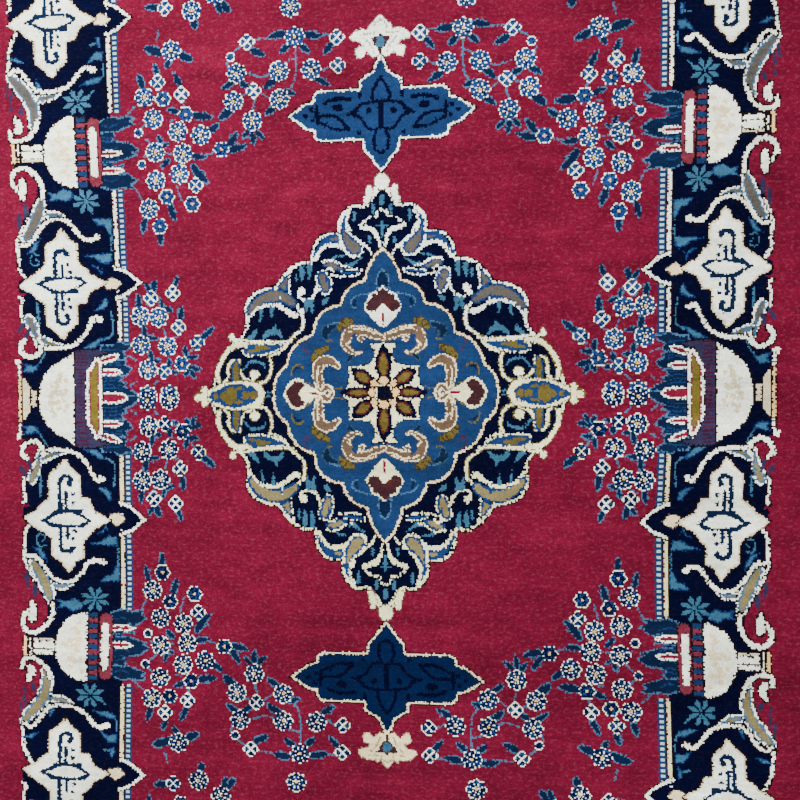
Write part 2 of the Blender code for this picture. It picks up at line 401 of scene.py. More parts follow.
def greatVase(pen):    # the great vase at the middle of each side
    bar(pen, 416, 466, -84, 84, "madder")
    for half in bothSides(pen, 1):
        bar(half, 444, 468, 60, 84, "navy")
        frond(half, [(468, 86), (452, 86), (440, 92), (428, 87), (417, 89), (424, 80), (434, 76), (429, 66),
                     (440, 62), (468, 64)],
              [(468, 64), (440, 62), (428, 60), (433, 54), (420, 48), (424, 42), (430, 36), (445, 38),
               (468, 38)],
              [(468, 38), (446, 38), (434, 34), (441, 27), (428, 24), (434, 18), (420, 12), (408, 3),
               (408, -3), (468, -3)])
        for y in (15, 21, 27, 33, 54, 58, 78):
            line(half, [(464, y, 0.9), (452, y + 1, 1.1), (438, y - 1, 0.9)], (0, "blue"))
        tulip(moved(half, (466, 42)), 29, 5.4)
        tulip(moved(half, (466, 61)), 28, 5.4, -20)
    tulip(moved(pen, (466, 0)), 38, 9)
    area(pen, twin([(472, 0), (470, 70), (458, 74), (470, 78, 0.05), (510, 77), (510, 0)], 1),
         (-1.4, "brown"), (0, "violet"))
    for stripe in range(-13, 14):
        bar(pen, 489, 503 + stripe % 3 * 2, stripe * 5.8, 2.2 + stripe * 5.8, "wine")
    bar(pen, 490, 508, 2, 8, "plum")
    area(pen, twin([(467, 0), (467, 58), (470, 65), (475, 68), (480, 60), (485, 50), (489, 42), (491, 34),
                    (491, 0)], 1), (-1.4, "brown"), (0, "ivory"), (4.4, "rust"), (6.8, "bronze"))
    belly(pen, [(509, 0), (509, 76), (520, 67), (535, 58), (548, 46), (557, 31), (561, 15), (562, 0)],
          {"seed": 9, "count": 46, "x": 534, "y": 2, "spread": 20, "wool": "sand"})
    bar(pen, 564, 576, -15, 15, "brown")
    bar(pen, 566, 573, -13, 13, "sand")
    area(pen, twin([(576, 0), (576, 21), (581, 30), (587, 37), (587, 0)], 1), (-1.6, "brown"), (0, "sand"))
    bar(pen, 588, 596, -64, 64, "brown")
    for half in bothSides(pen, 1):
        bar(half, 589.5, 594, -1, 38, "peach")
        bar(half, 589.5, 594, 39, 62, "ivory")
        bar(half, 591, 600, 57, 66, "ivory")


def skyStar(pen, heart):
    rows, cols, x, y = knotsNear(pen, [(-22, -22), (22, 22)], 2)
    far, angle = np.hypot(x, y) + ragged[rows, cols], np.arctan2(y, x)
    across = far * np.sin(np.abs((angle / (math.pi / 4)) % 1 - 0.5) * math.pi / 4)
    petal = (far > 4.5) & (far < 22 - 1.3 * across) & (across < np.minimum(0.25 * far, 3.6))
    chart[rows, cols][petal] = dye["sky"]
    if heart:
        spot(pen, 0, 0, 3.6, 3.6, (0, "sky"))
    else:
        line(pen, [(0, -8, 0.8), (0, 8, 0.8)], (0, "sky"))


def outerEdge(pen, long):    # red of the outer band that reaches in between the curls
    area(pen, [(600, 66), (562, 66), (556, 84), (561, 104), (574, 138), (583, 130), (585, 166), (575, 174),
               (600, 178)], (0, "madder"))
    area(pen, [(600, 190), (574, 200), (586, 215), (588, 256), (578, 282), (562, 312), (550, 332), (549, 352),
               (562, 376), (590, 386), (600, 386)], (0, "madder"))
    bar(pen, 588, 604, 0, long + borderWide, "madder")


def outerEdgeFar(pen):
    area(pen, [(600, 414), (590, 416), (562, 426), (550, 442), (552, 468), (566, 484), (580, 506), (592, 532),
               (588, 560), (582, 590), (570, 606), (600, 611)], (0, "madder"))


def scrollsNear(pen):    # leaves and curls between the great vase and the first cartouche
    line(pen, [(585, 168, 2.2), (580, 163, 2.4), (583, 146, 2.4), (581, 128, 2.4), (574, 134, 2.4)],
         *scrollBands)
    line(pen, [(557, 84, 5), (561, 104, 6.5), (567, 121, 9.5), (571, 132, 8)], *leafBands)
    line(pen, [(554, 99, 3.4), (553, 84, 3.8), (560, 72, 3.8), (572, 69, 4.2), (583, 76, 4), (586, 89, 4),
               (579, 97, 3.4)], *scrollBands)
    line(pen, [(520, 86, 3), (538, 90, 7), (553, 98, 6)], *goldLeafBands)
    line(pen, [(464, 131, 3.6), (473, 132, 3.4), (480, 120, 3.2), (488, 104, 3.2), (503, 89, 3.2),
               (524, 83, 3.2), (547, 83, 3)], *scrollBands)
    spot(pen, 465, 129, 5.5, 4.5, (0, "ivory"))


def scrollsMiddle(pen):    # between the first cartouche and the small vase
    line(pen,
         [(573, 200, 2.2), (582, 213, 2.4), (583, 236, 2.6), (584, 256, 3), (577, 274, 3), (566, 297, 2.6)],
         *scrollBands)
    strokes(pen, leafBands, [(512, 297, 4), (524, 301, 7), (540, 302, 6)],
            [(544, 329, 6), (550, 306, 11), (560, 282, 11), (570, 264, 9)])
    line(pen, [(463, 262, 4), (478, 259, 3.4), (490, 267, 3.4), (500, 283, 3.4), (513, 293, 3.2),
               (531, 293, 3.2), (545, 283, 3.2), (556, 268, 3.2), (568, 254, 3.2), (580, 253, 3)],
         *scrollBands)
    spot(pen, 464, 263, 5.5, 5, (0, "ivory"))
    strokes(pen, scrollBands, [(542, 330, 3.4), (542, 348, 3.8), (550, 365, 3.8), (562, 377, 4),
                               (575, 379, 4), (586, 370, 4), (588, 356, 4), (580, 345, 3.6)],
            [(572, 357, 5.4), (572, 343, 6), (573, 329, 3.6)])


def scrollsFar(pen):    # between the small vase and the second cartouche
    line(pen, [(566, 606, 2.2), (575, 592, 2.6), (583, 572, 2.8), (585, 552, 2.8), (588, 534, 2.6)],
         *scrollBands)
    strokes(pen, leafBands, [(510, 499, 4), (526, 492, 8), (543, 489, 6)],
            [(553, 442, 6), (549, 464, 10), (556, 490, 11), (570, 510, 11), (584, 528, 8)])
    strokes(pen, scrollBands, [(544, 454, 3.4), (549, 440, 3.8), (559, 428, 3.8), (573, 422, 4),
                               (585, 425, 4), (588, 438, 3.8)],
            [(577, 437, 4.6), (573, 446, 6), (578, 459, 3.4)],
            [(458, 532, 5), (471, 536, 3.6), (483, 524, 3.4), (497, 508, 3.2), (519, 501, 3.2),
             (541, 502, 3.2), (552, 512, 3.2), (561, 526, 3.2), (573, 538, 3.2), (585, 532, 3)])


def skyLeaves(pen, *drawn):    # strokes with a half width, or pointed outlines without one
    for points in drawn:
        if len(points[0]) > 2:
            line(pen, points, (0, "sky"))
        else:
            area(pen, points, (-0.4, "denim"), (1.4, "sky"))


def skyMarks(pen):    # light blue leaves scattered on the navy
    skyStar(moved(pen, (478, 322)), True)
    skyLeaves(pen, [(441, 292), (470, 293), (462, 283), (452, 281), (447, 268), (441, 262)],
              [(443, 266, 1.1), (443, 240, 1.2)],
              [(443, 236), (464, 235), (487, 233), (468, 229), (460, 222), (452, 219), (445, 222)],
              [(450, 218), (458, 210), (461, 201), (464, 210), (474, 218), (464, 214), (461, 208),
               (456, 213)],
              [(451, 165), (457, 163), (462, 154), (470, 146), (474, 143), (462, 145), (453, 150)],
              [(448, 142, 1.1), (446, 125, 1.1), (446, 108, 1.1), (451, 101, 1.2), (458, 97, 2)],
              [(457, 100), (468, 98), (478, 91), (489, 84), (493, 81), (474, 82), (466, 90)],
              [(549, 267), (553, 259), (560, 256), (564, 246), (572, 239), (560, 240), (554, 250)],
              [(553, 236, 1), (560, 238, 1.1), (565, 233, 1), (565, 222, 1), (558, 218, 1.1), (552, 224, 1),
               (557, 230, 1)],
              [(559, 157, 1.6), (558, 142, 2.2), (557, 126, 1.4)],
              [(498, 338), (512, 343), (522, 336), (536, 338), (530, 330), (536, 324), (520, 326), (508, 322),
               (496, 330)],
              [(548, 76, 1), (556, 62, 1.2), (562, 54, 1.4)],
              [(558, 58), (566, 54), (572, 57), (583, 58), (578, 51), (585, 45), (570, 43), (562, 48)])


def skyMarksFar(pen):
    skyStar(moved(pen, (484, 482)), False)
    skyLeaves(pen, [(458, 499, 1), (470, 487, 1.8)],
              [(443, 521), (450, 511), (462, 508), (479, 508), (466, 516), (455, 520)],
              [(444, 521, 1.1), (443, 542, 1.2)],
              [(443, 560), (444, 546), (456, 548), (468, 541), (462, 552), (454, 561)],
              [(446, 566), (452, 572), (453, 590), (447, 584)], [(462, 572, 1.6), (454, 574, 1.6)],
              [(560, 548), (571, 549), (588, 557), (572, 557)], [(537, 508), (545, 505), (545, 522)])


def outerTicks(pen):    # little dark leaves on the outer red band
    strokes(pen, ((-0.6, "violet"),), [(573, 318, 2), (572, 306, 3.5), (574, 298, 1)],
            [(582, 304, 1), (584, 290, 3), (583, 278, 1)], [(583, 124, 1.5), (591, 112, 3)],
            [(574, 116, 2), (578, 104, 3)])


def outerTicksFar(pen):
    strokes(pen, ((-0.6, "violet"),), [(572, 478, 1), (573, 468, 3.2)], [(585, 503, 1.2), (588, 488, 2)],
            [(592, 515, 1), (594, 498, 2)], [(586, 482, 1), (588, 472, 1.6)])


def cornerRose(pen):    # fills the square where the borders meet, the same way along both
    for turn in (0, 90, 180, 270):
        arm = moved(pen, turn=turn)
        for half in bothSides(arm, 1):
            line(half, [(20, 6, 2.4), (36, 14, 4), (50, 12, 4.6), (60, 2, 3)], *scrollBands)
        line(moved(arm, turn=45), [(26, 0, 7), (44, 0, 9), (62, 0, 6)], *leafBands)
        line(arm, [(30, 0, 1), (44, 0, 4), (54, 0, 1)], (0, "sky"))
    for turn in range(0, 360, 45):
        line(moved(pen, turn=turn), [(8, 0, 8), (24, 0, 8), (31, 0, 4)], (-1.6, "brown"), (0, "ivory"),
             (4.2, "scarlet"))
    spot(pen, 0, 0, 11, 11, (-1.4, "brown"), (0, "peach"), (5, "navy"))


def medallionRing(pen):    # the whole scalloped edge, right half and its mirror image
    upper = [(306, 0), (296, 8), (284, 14, 0.06), (275, 34, 0.12), (258, 74, 0.08), (240, 90, 0),
             (232, 97, -0.05), (225, 112, 0), (227, 143, 0.14), (196, 171, 0.06), (176, 174, 0),
             (163, 190, 0.10), (131, 212, 0.04), (116, 211, 0), (115, 222, 0.12), (96, 255, 0.08),
             (71, 255, 0), (71, 273, 0.10), (53, 298, 0.12), (32, 299, -0.06), (24, 310, 0), (14, 322),
             (8, 330), (0, 332)]
    bows = [p[2] if len(p) > 2 else 0 for p in upper]
    right = [(x, -y, bow) for (x, y, *_), bow in zip(upper[1:], bows)][::-1]
    area(pen, twin([(0, -332)] + right[1:] + upper), (-1.4, "brown"), (0.4, "ivory"), (4.8, "navy"))


def medallionCrown(pen):    # the finial above and the one below
    spot(pen, 0, 336, 11.5, 12.5, (-1.4, "camel"), (0, "ivory"))
    for half in bothSides(pen):
        line(half, [(10, 322, 5), (13, 318, 5), (19, 310, 6), (25, 301, 5)], (0, "ivory"))
        line(half, [(20, 326, 4.4), (20, 318, 5.4), (24, 306, 5)], (-1.2, "camel"), (0, "ivory"))
    area(pen, twin([(0, 318), (6, 316), (11, 309), (17, 301), (22, 293, 0), (29, 290, 0), (46, 290),
                    (40, 250), (0, 238)]), (0, "navy"))
    for half in bothSides(pen):
        crownScroll(half)


def crownScroll(pen):
    strokes(pen, "sky", [(0, 311, 4.6), (0, 301, 3.6)], [(14, 298, 3), (14, 286, 2)],
            [(44, 288, 3), (44, 275, 2)], [(20, 247, 2), (20, 239, 2)])
    strokes(pen, "ivory", [(0, 292, 1.8), (6, 291, 1.8), (8, 285, 1.8), (9, 280, 1.8), (20, 279, 1.8),
                           (29, 273, 2.2), (35, 266, 3)],
            [(34, 265, 4), (24, 262, 4), (13, 257, 4), (8, 248, 3.4), (5, 238, 2.6), (3, 231, 2)])
    strokes(pen, "sky", [(0, 248, 1), (0, 256, 2.6), (0, 265, 3.2), (0, 272, 1.4)],
            [(0, 265, 2.2), (9, 266, 1)])


def medallionLeaves(pen):
    # The leaf under the ribbon, then the one that hangs from the finial
    line(pen, [(70, 246, 7), (80, 247, 7), (91, 243, 6), (101, 232, 4.5), (109, 220, 3)], (0, "denim"))
    line(pen, [(73, 246, 2.4), (82, 246, 1.8)], (0, "taupe"))
    strokes(pen, "ivory", [(62, 230, 2.5), (73, 236, 3.3), (86, 237, 3.5), (96, 232, 3.3), (104, 222, 2.9),
                           (108, 214, 2.7)],
            [(66, 268, 2.3), (67, 252, 2.3), (66, 238, 3.3), (58, 228, 3.3)])
    line(pen, [(53, 290, 2.5), (60, 279, 4.6), (63, 268, 5.4), (61, 256, 7.5), (56, 244, 11), (46, 232, 14),
               (42, 229, 12)], (-1.5, "ivory"), (2.6, "denim"), (6.0, "taupe"))
    line(pen, [(51, 287, 1.8), (56, 279, 2), (57, 270, 2.2), (52, 262, 2.2), (49, 256, 2.3)], (0, "ivory"))
    line(pen, [(47, 286, 1.4), (51, 277, 2.2), (50, 268, 1.6)], (0, "navy"))
    line(pen, [(44, 247, 2.1), (36, 241, 2.1), (27, 235, 2.1), (20, 228, 2.1), (17, 221, 2)], (0, "ivory"))
    strokes(pen, "sky", [(62, 219, 1.2), (72, 218, 1.7), (82, 214, 1.2)],
            [(34, 214, 1), (42, 209, 1.8), (52, 203, 3), (58, 205, 2)])
    # The small leaf with twin ribbons
    line(pen,
         [(32, 195, 1.4), (37, 190, 1.4), (46, 186.5, 1.5), (60, 186, 1.6), (74, 187, 1.6), (82, 190, 1.8)],
         (0, "ivory"))
    line(pen, [(38, 194, 2), (52, 192, 2.4), (66, 191, 2)], (0, "denim"))
    line(pen, [(32, 197, 1.2), (44, 197, 1.4), (58, 195.5, 1.2), (68, 193, 1)], (0, "ivory"))
    line(pen, [(62, 197, 1.5), (72, 200, 5), (83, 204, 7), (92, 205, 4)], (0, "denim"), (2.6, "taupe"))
    line(pen, [(54, 201, 1.4), (64, 203, 1.6), (74, 210, 1.8), (84, 213, 2), (96, 210, 2.1)], (0, "ivory"))
    # The upright leaf, its spiral and the fan of sky blue
    line(pen, [(80, 196, 2.1), (84, 199, 2.1), (92, 197, 2)], (0, "ivory"))
    line(pen, [(92, 166, 9.5), (94, 177, 12.5), (98, 187, 11)], (0, "ivory"), (2.8, "denim"), (6.2, "taupe"))
    line(pen, [(90, 184, 1.6), (92, 178, 1.4)], (0, "denim"))
    line(pen, [(104, 176, 2.7), (108, 164, 2.7), (113, 155, 2.3), (122, 151, 2.3), (131, 151, 2.3),
               (137, 157, 2.5), (136, 165, 2.3)], (0, "ivory"))
    spot(pen, 132, 164, 6.4, 7, (0, "ivory"))
    line(pen, [(134, 133, 2.5), (143, 145, 2.7), (150, 156, 2.1), (153, 170, 2.2), (152, 184, 2.2),
               (149, 197, 2.1)], (0, "ivory"))
    strokes(pen, "sky", [(118, 205, 4), (118, 196, 4), (120, 184, 1.4)],
            [(131, 202, 4), (130, 193, 4), (131, 183, 1.4)], [(140, 192, 2), (140, 182, 2)],
            [(88, 152, 1.5), (94, 148, 4), (97, 143, 1.5)], [(116, 148, 4), (116, 138, 3), (114, 130, 1.4)],
            [(124, 148, 4), (124, 138, 3), (126, 131, 1.4)])
    # The small leaf and the great one at the shoulder
    area(pen, [(152, 192), (157, 190), (166, 180), (173, 171), (164, 168), (158, 163), (154, 168)],
         (0, "denim"), (3, "taupe"))
    line(pen, [(147, 146, 8), (155, 152, 9), (168, 158, 10.5), (186, 158, 11), (203, 150, 9.5), (214, 140, 8),
               (219, 134, 6)], (0, "denim"), (3.2, "taupe"))
    area(pen, [(162, 138), (167, 157), (170, 148), (172, 140)], (0, "ivory"))
    area(pen, [(165, 140), (168, 152), (171, 140)], (-2.4, "denim"), (0, "ivory"))
    line(pen, [(141, 127, 4.9), (149, 128, 4.7), (158, 135, 3.5), (171, 142, 3.1), (186, 144, 3.1),
               (200, 141, 2.7), (211, 133, 2.5), (219, 123, 2.3), (224, 114, 2.3)], (0, "ivory"))
    # The eye below the great leaf
    line(pen, [(132, 134, 2.9), (130, 120, 2.3), (131, 106, 2.5), (140, 97, 2.3), (152, 87, 2.3)],
         *thinOliveEdge)
    strokes(pen, "sky", [(182, 139, 3.4), (182, 131, 2), (181, 123, 1)],
            [(199, 136, 2.4), (200, 128, 2.4), (202, 120, 1)], [(176, 112, 1), (178, 104, 4)],
            [(166, 92, 2), (171, 99, 4), (182, 101, 4.6), (192, 96, 4), (196, 90, 2)],
            [(206, 106, 1.4), (210, 100, 3.6), (218, 92, 3.6), (222, 88, 1.6)])
    line(pen, [(150, 86, 2.1), (168, 84, 1.8), (190, 85, 2), (214, 86, 2.1), (236, 90, 2.3)], *oliveEdge)
    line(pen, [(163, 78, 4.8), (180, 75, 8.5), (198, 73.5, 11), (214, 73, 11.5), (223, 71, 9)],
         (0, "ivory"), (3.2, "denim"))
    line(pen, [(186, 75, 1), (196, 76, 3.4), (206, 76, 4), (204, 73, 3), (221, 70, 2)], (0, "olive"))
    line(pen, [(156, 82, 2.3), (166, 70, 2.3), (178, 64, 2.1), (186, 61, 2.1)], (0, "ivory"))
    # The curl, the arch and the outer arc towards the tip
    line(pen,
         [(187, 61, 2.1), (184, 52, 2.1), (184, 40, 2.1), (188, 28, 2.1), (197, 20, 2.1), (207, 19, 2.3)],
         *oliveEdge)
    line(pen, [(214, 22, 2.7), (224, 25, 2.1), (232, 32, 2.1), (236, 42, 2.2), (237, 57, 1.6)],
         *thinOliveEdge)
    spot(pen, 212, 33, 8, 7.4, *thinOliveEdge)
    line(pen, [(243, 26, 7.5), (243, 44, 7.2), (242, 54, 4.5)], (0, "denim"), (3.0, "olive"))
    line(pen, [(246, 57, 1.4), (252, 54, 2.2), (256, 44, 2.3), (256, 30, 2.3), (262, 22, 2.5)],
         *thinOliveEdge)
    strokes(pen, "sky", [(194, 43, 1), (197, 50, 1.8), (206, 53, 2.2), (215, 54, 2.4), (222, 52, 1)],
            [(223, 49, 1.6), (227, 45, 1.8), (230, 41, 1.6)])
    line(pen, [(224, 82, 3.9), (238, 82, 4.3), (250, 77, 4.1), (260, 67, 3.7), (268, 54, 3.5), (273, 41, 3.5),
               (273, 29, 3.3), (270, 23, 2.3)], *oliveEdge)
    spot(pen, 249, 94, 4.6, 6, (-1.3, "olive"), (0, "ivory"))
    line(pen, [(238, 89, 2.3), (247, 90, 2.3)], (0, "ivory"))


def medallionEnds(pen):    # the palmettes at its left and right tips
    area(pen,
         twin([(194, 0), (199, 12, 0.1), (206, 19), (228, 23), (254, 22), (270, 18), (290, 7), (291, 0)], 1),
         (-1.4, "olive"), (0, "ivory"))
    area(pen, twin([(206, 0), (209, 9), (222, 14), (232, 18), (250, 19), (264, 15), (272, 11), (284, 7),
                    (291, 0)], 1), (0, "denim"))
    for half in bothSides(pen, 1):
        endLobes(half)


def endLobes(pen):
    for x, y, rx, ry in ((214, 1, 6, 5.4), (226, 1, 7, 5), (252, 3, 10, 11), (263, 1, 6, 6),
                         (277, 0, 4.4, 5.4)):
        spot(pen, x, y, rx, ry, (0, "olive"))
    line(pen, [(231, 10, 1), (238, 11, 2.8), (246, 10, 1.4)], (0, "olive"))
    spot(pen, 296, 11, 5.4, 5, *oliveEdge)
    spot(pen, 304, 1, 8, 5.6, *oliveEdge)
    spot(pen, 296, 3, 5, 7, (0, "ivory"))
    spot(pen, 189, 3, 2.6, 1.8, (0, "sky"))


def lozenge(pen):    # the blue heart of the medallion, drawn whole
    right = [(0, -232, 0.09), (30.5, -180, 0.17), (69, -142.5, 0.21), (115.5, -96, 0.16), (160, -47, 0.14),
             (182, 0, 0.14), (160, 47, 0.16), (115.5, 96, 0.21), (69, 142.5, 0.17), (30.5, 180, 0.09),
             (0, 232)]
    area(pen, twin(right), (-1.8, "brown"), (0.4, "cream"), (3.8, "brown"), (4.4, "blue"))


def lozengeScrolls(pen):    # camel scrolls with olive buds, and small curls
    for x, y, r in ((53, 114, 4), (60, 112, 6.5), (67, 108, 5), (70, 103, 3.6), (92, 72, 4), (98, 69, 5),
                    (105, 66, 6), (112, 59, 5), (115, 53, 3)):
        spot(pen, x, y, r, r, (-1.6, "umber"), (0, "olive"))
    spot(pen, 36, 86, 5, 5, (-0.4, "cream"), (1.6, "camel"))
    line(pen, [(0, 86, 4.8), (13, 91, 7), (27, 97, 8), (42, 99, 8.5), (54, 96, 9.5), (60, 85, 8.6),
               (62, 76, 6.4), (54, 67, 4.8), (44, 62, 3.4), (36, 65, 2)], (-0.6, "camel"), (0.6, "cream"),
         (2.4, "camel"))
    line(pen, [(6, 93, 0.9), (16, 95, 1.1), (30, 101, 1.2), (44, 102, 1.2), (55, 97, 1.2)], (0, "cream"))
    line(pen, [(45, 93, 2), (49, 88, 3), (50, 81, 1)], (0, "blue"))
    line(pen, [(56, 80, 0.8), (60, 76, 1), (54, 71, 1)], (0, "cream"))
    line(pen, [(74, 43, 4), (84, 50, 6.5), (95, 52, 8.5), (104, 46, 9), (107, 34, 8.6), (106, 22, 8),
               (104, 11, 6)], (-0.4, "cream"), (1.8, "camel"))
    line(pen, [(106, 42, 1), (108, 30, 1.4), (107, 14, 1.3)], (0, "cream"))
    line(pen, [(91, 36, 3), (95, 32, 2)], (0, "blue"))
    line(pen, [(98, 44, 0.8), (98, 36, 0.9), (103, 34, 0.8)], (0, "cream"))
    line(pen, [(108, 8, 3.4), (102, 3, 4), (93, 9, 5), (88, 8, 4), (84, 1, 4)], (-0.6, "cream"),
         (2.2, "camel"))
    line(pen, [(77, 107, 2), (87, 105, 5), (94, 98, 6), (92, 88, 2.4)], (-1.4, "sage"), (0.2, "teal"))
    line(pen, [(71, 113, 1), (80, 112, 1), (90, 108, 1)], (0, "slate"))
    line(pen, [(84, 84, 1), (90, 83, 2)], (0, "olive"))
    line(pen, [(48, 60, 1.4), (54, 56, 3.4), (56, 52, 2)], (-0.8, "sage"), (0.2, "teal"))
    strokes(pen, "plum", [(118, 84, 0.9), (124, 88, 1), (129, 82, 1.1), (131, 74, 1), (124, 66, 1)],
            [(118, 75, 0.9), (124, 72, 1.1), (122, 66, 0.9)])
    line(pen, [(130, 40, 0.9), (136, 46, 1.2), (143, 46, 1.2), (149, 40, 1.1), (151, 29, 1)], (0, "olive"))
    line(pen, [(137, 42, 1.4), (143, 41, 2.2), (146, 37, 1.6)], (0, "teal"))
    line(pen, [(66, 9, 0.9), (74, 7, 1), (80, 8, 0.9)], (0, "olive"))


def upperPalmette(pen):
    area(pen, twin([(0, 194), (5, 191), (9, 181), (10, 166), (0, 166)]), (-1.4, "slate"), (0.6, "teal"))
    heart = twin([(0, 166), (5, 163, 0.1), (9, 157, 0.1), (18, 155), (19, 149, 0.15), (27, 139, 0.2),
                  (24, 131, 0.1), (12, 129), (6, 136), (0, 142)])
    area(pen, twin([(0, 168), (9, 160), (20, 157), (22, 149), (29, 138), (26, 130), (16, 117), (5, 106),
                    (0, 104)]), (-1.2, "ivory"))
    area(pen, heart, (0, "maroon"))
    spot(pen, 9, 141, 4, 6, (0, "russet"))
    area(pen, twin([(0, 141), (6, 135), (10, 128), (24, 129), (14, 115), (5, 106), (0, 104)]), (0, "ivory"))
    area(pen, twin([(0, 127), (1.6, 125), (1.8, 108), (0, 105)]), (0, "scarlet"))
    for half in bothSides(pen):
        line(half, [(20, 158, 0.9), (30, 156.5, 1), (40, 154, 1), (48, 151, 1.1), (52, 144, 1.1),
                    (49, 137, 1), (43, 135, 1)], (0, "slate"))
        line(half, [(45, 148, 2), (46, 141, 3)], (0, "teal"))


def sidePalmette(pen):
    area(pen, twin([(163, 0), (160, 7), (156, 14), (152, 20), (143, 24), (133, 22), (127, 15), (112, 6),
                    (100, 0)], 1), (-1.2, "ivory"))
    area(pen, twin([(160, 0), (158, 6), (153, 12), (150, 18), (142, 21), (134, 19), (129, 14), (135, 6),
                    (139, 0)], 1), (0, "maroon"))
    area(pen, twin([(139, 0), (134, 6), (127, 15), (112, 6), (100, 0)], 1), (0, "ivory"))
    line(pen, [(106, 0, 1.2), (114, 0, 1.8), (121, 0, 1.2)], (0, "scarlet"))
    for half in bothSides(pen, 1):
        line(half, [(113, 10, 0.9), (121, 16, 1), (128, 19, 0.9)], (0, "olive"))


def centreRose(pen):    # eight navy petals on ivory round a ring of peach squares
    area(pen, [(0, 0), (70, 0), (62, 7), (57, 14), (55, 24), (56, 41), (38, 42), (24, 45), (16, 52), (13, 62),
               (20, 78), (4, 77), (0, 81)], (-1.0, "brown"), (0, "ivory"))
    petals = [(0, 45, 90, 31, 13), (34, 25, 34, 20, 12.5), (42, 0, 0, 27, 9.5)]
    for x, y, turn, long, wide in petals:
        at = moved(pen, (x, y), turn)
        line(at, [(-long * 0.7, 0, wide * 0.6), (0, 0, wide), (long * 0.6, 0, wide * 0.62), (long, 0, 1.5)],
             (0, "navy"))
        line(at, [(-long * 0.5, 0, wide * 0.34), (-long * 0.1, 0, wide * 0.66), (long * 0.35, 0, wide * 0.44),
                  (long * 0.62, 0, 1)], (0, "russet"), (2.2, "olive"))
    line(pen, [(47, 34, 3), (50, 37, 2.4)], (0, "navy"))
    line(pen, [(11, 24, 1.3), (17, 27, 1.3)], (0, "ivory"))
    bar(pen, 0, 24, 0, 12, "brown")
    bar(pen, 0, 12, 0, 25, "brown")
    bar(pen, 0, 20, 0, 20, "brown")
    bar(pen, 0, 10, 11, 13.5, "ivory")
    bar(pen, 11, 13.5, 0, 10, "ivory")
    spot(pen, 0, 19, 8, 6, (0, "peach"))
    spot(pen, 15.5, 15, 5.4, 5.4, (0, "peach"))
    spot(pen, 19, 0, 5.4, 7, (0, "peach"))
    bar(pen, 0, 10, 0, 9, "navy")


def pendant(pen, ground, edge):    # the cross-shaped plate above and below the medallion
    area(pen, twin([(0, 350), (13, 366), (17, 373), (28, 385), (31, 401), (98, 401), (109, 407), (110, 417),
                    (124, 422), (152, 443), (124, 461), (111, 464), (110, 473), (101, 481), (35, 481),
                    (34, 494), (26, 499), (12, 508), (9, 518), (4, 527), (0, 536)]), (-2.1, "brown"),
         (-0.2, edge), (2.8, ground))
    for half in bothSides(pen):
        pendantInk(half)


def pendantInk(pen):
    strokes(pen, ((-1.0, "navy"),), [(0, 458, 3.4), (0, 421, 3.4)],
            [(0, 498, 1.6), (9, 484, 1.6), (14, 470, 1.8), (13, 460, 1.8)],
            [(3, 460, 1.3), (22, 459, 1.5), (34, 455, 1.6), (42, 446, 2.2), (54, 441, 1.4)],
            [(44, 441, 2.2), (34, 436, 1.4), (26, 425, 1.4), (19, 418, 1.3), (6, 417, 1.2)],
            [(8, 414, 1.6), (12, 402, 1.6), (10, 386, 1.6)], [(5, 383, 1.6), (2, 381, 1.6)],
            [(50, 465, 1.8), (66, 467, 2.2), (84, 464, 1.8), (91, 460, 1.6)], [(34, 473, 2), (34, 468, 2)],
            [(104, 456, 1.2), (104, 440, 2.6), (102, 430, 1.6)],
            [(102, 441, 1.6), (84, 441, 1.6), (72, 439, 1.6)],
            [(72, 439, 1.6), (62, 430, 1.8), (53, 419, 2.2)],
            [(53, 419, 1.6), (76, 420, 1.3), (100, 431, 1.4)])
    for x, y, rx, ry in ((20, 446, 4, 4), (70, 453, 8, 5), (36, 412, 2.6, 2.6), (113, 451, 3, 3),
                         (111, 435, 3, 2.4), (123, 442, 3, 2.4), (88, 430, 1, 1)):
        spot(pen, x, y, rx, ry, (-0.7, "navy"))


def fieldPalmette(pen, tip, wool, shade):    # pale flower beyond each pendant
    area(pen, twin([(0, tip, 0.04), (11, tip - 12, 0), (17, 577, 0.02), (19, 571, 0.10), (38, 570, 0.02),
                    (47, 562, 0.02), (46, 557, 0), (31, 553, 0), (26, 546, 0.10), (38, 543, 0.08),
                    (36, 530, 0.10), (28, 530, 0.04), (22, 538, 0), (11, 529, 0), (0, 532)]), (-1.0, shade),
         (0.3, wool))
    area(pen, twin([(0, 565), (5, 561), (18, 560), (12, 552), (8, 545), (3, 541), (2, 532), (0, 532)]),
         (0, "maroon"))
    spot(pen, 0, 552, 7.4, 8, (0, "sky"))
    for half in bothSides(pen):
        strokes(half, shade, [(0, tip - 8, 1), (9, tip - 14, 1), (10, 574, 1), (10, 565, 1)],
                [(12, 565, 1), (30, 565, 1)], [(26, 560, 1), (16, 549, 1), (10, 536, 1)])


# How far out the flowers of each corner stand, mm
leans = {(1, 1): (-5, -6, 2), (-1, 1): (1, 2, 1), (-1, -1): (5, 13, 8), (1, -1): (1, 4, 3)}
# The middles of the border's motifs, across it and along it, and how far out its scrolls stand, mm
border = {"across": 522, "cartoucheNear": 188, "vase": 402, "scrollFold": 400.5, "cartoucheFar": 613,
          "scrollsOut": 3.5, "marksOut": 3.0}
# How it was tied: the share of knots that bite into an outline, then the medallion and the newer wool, mm
tied = {"bitten": 0.16, "medallion": (320, 350), "batchFrom": 88, "batchEdge": 9}


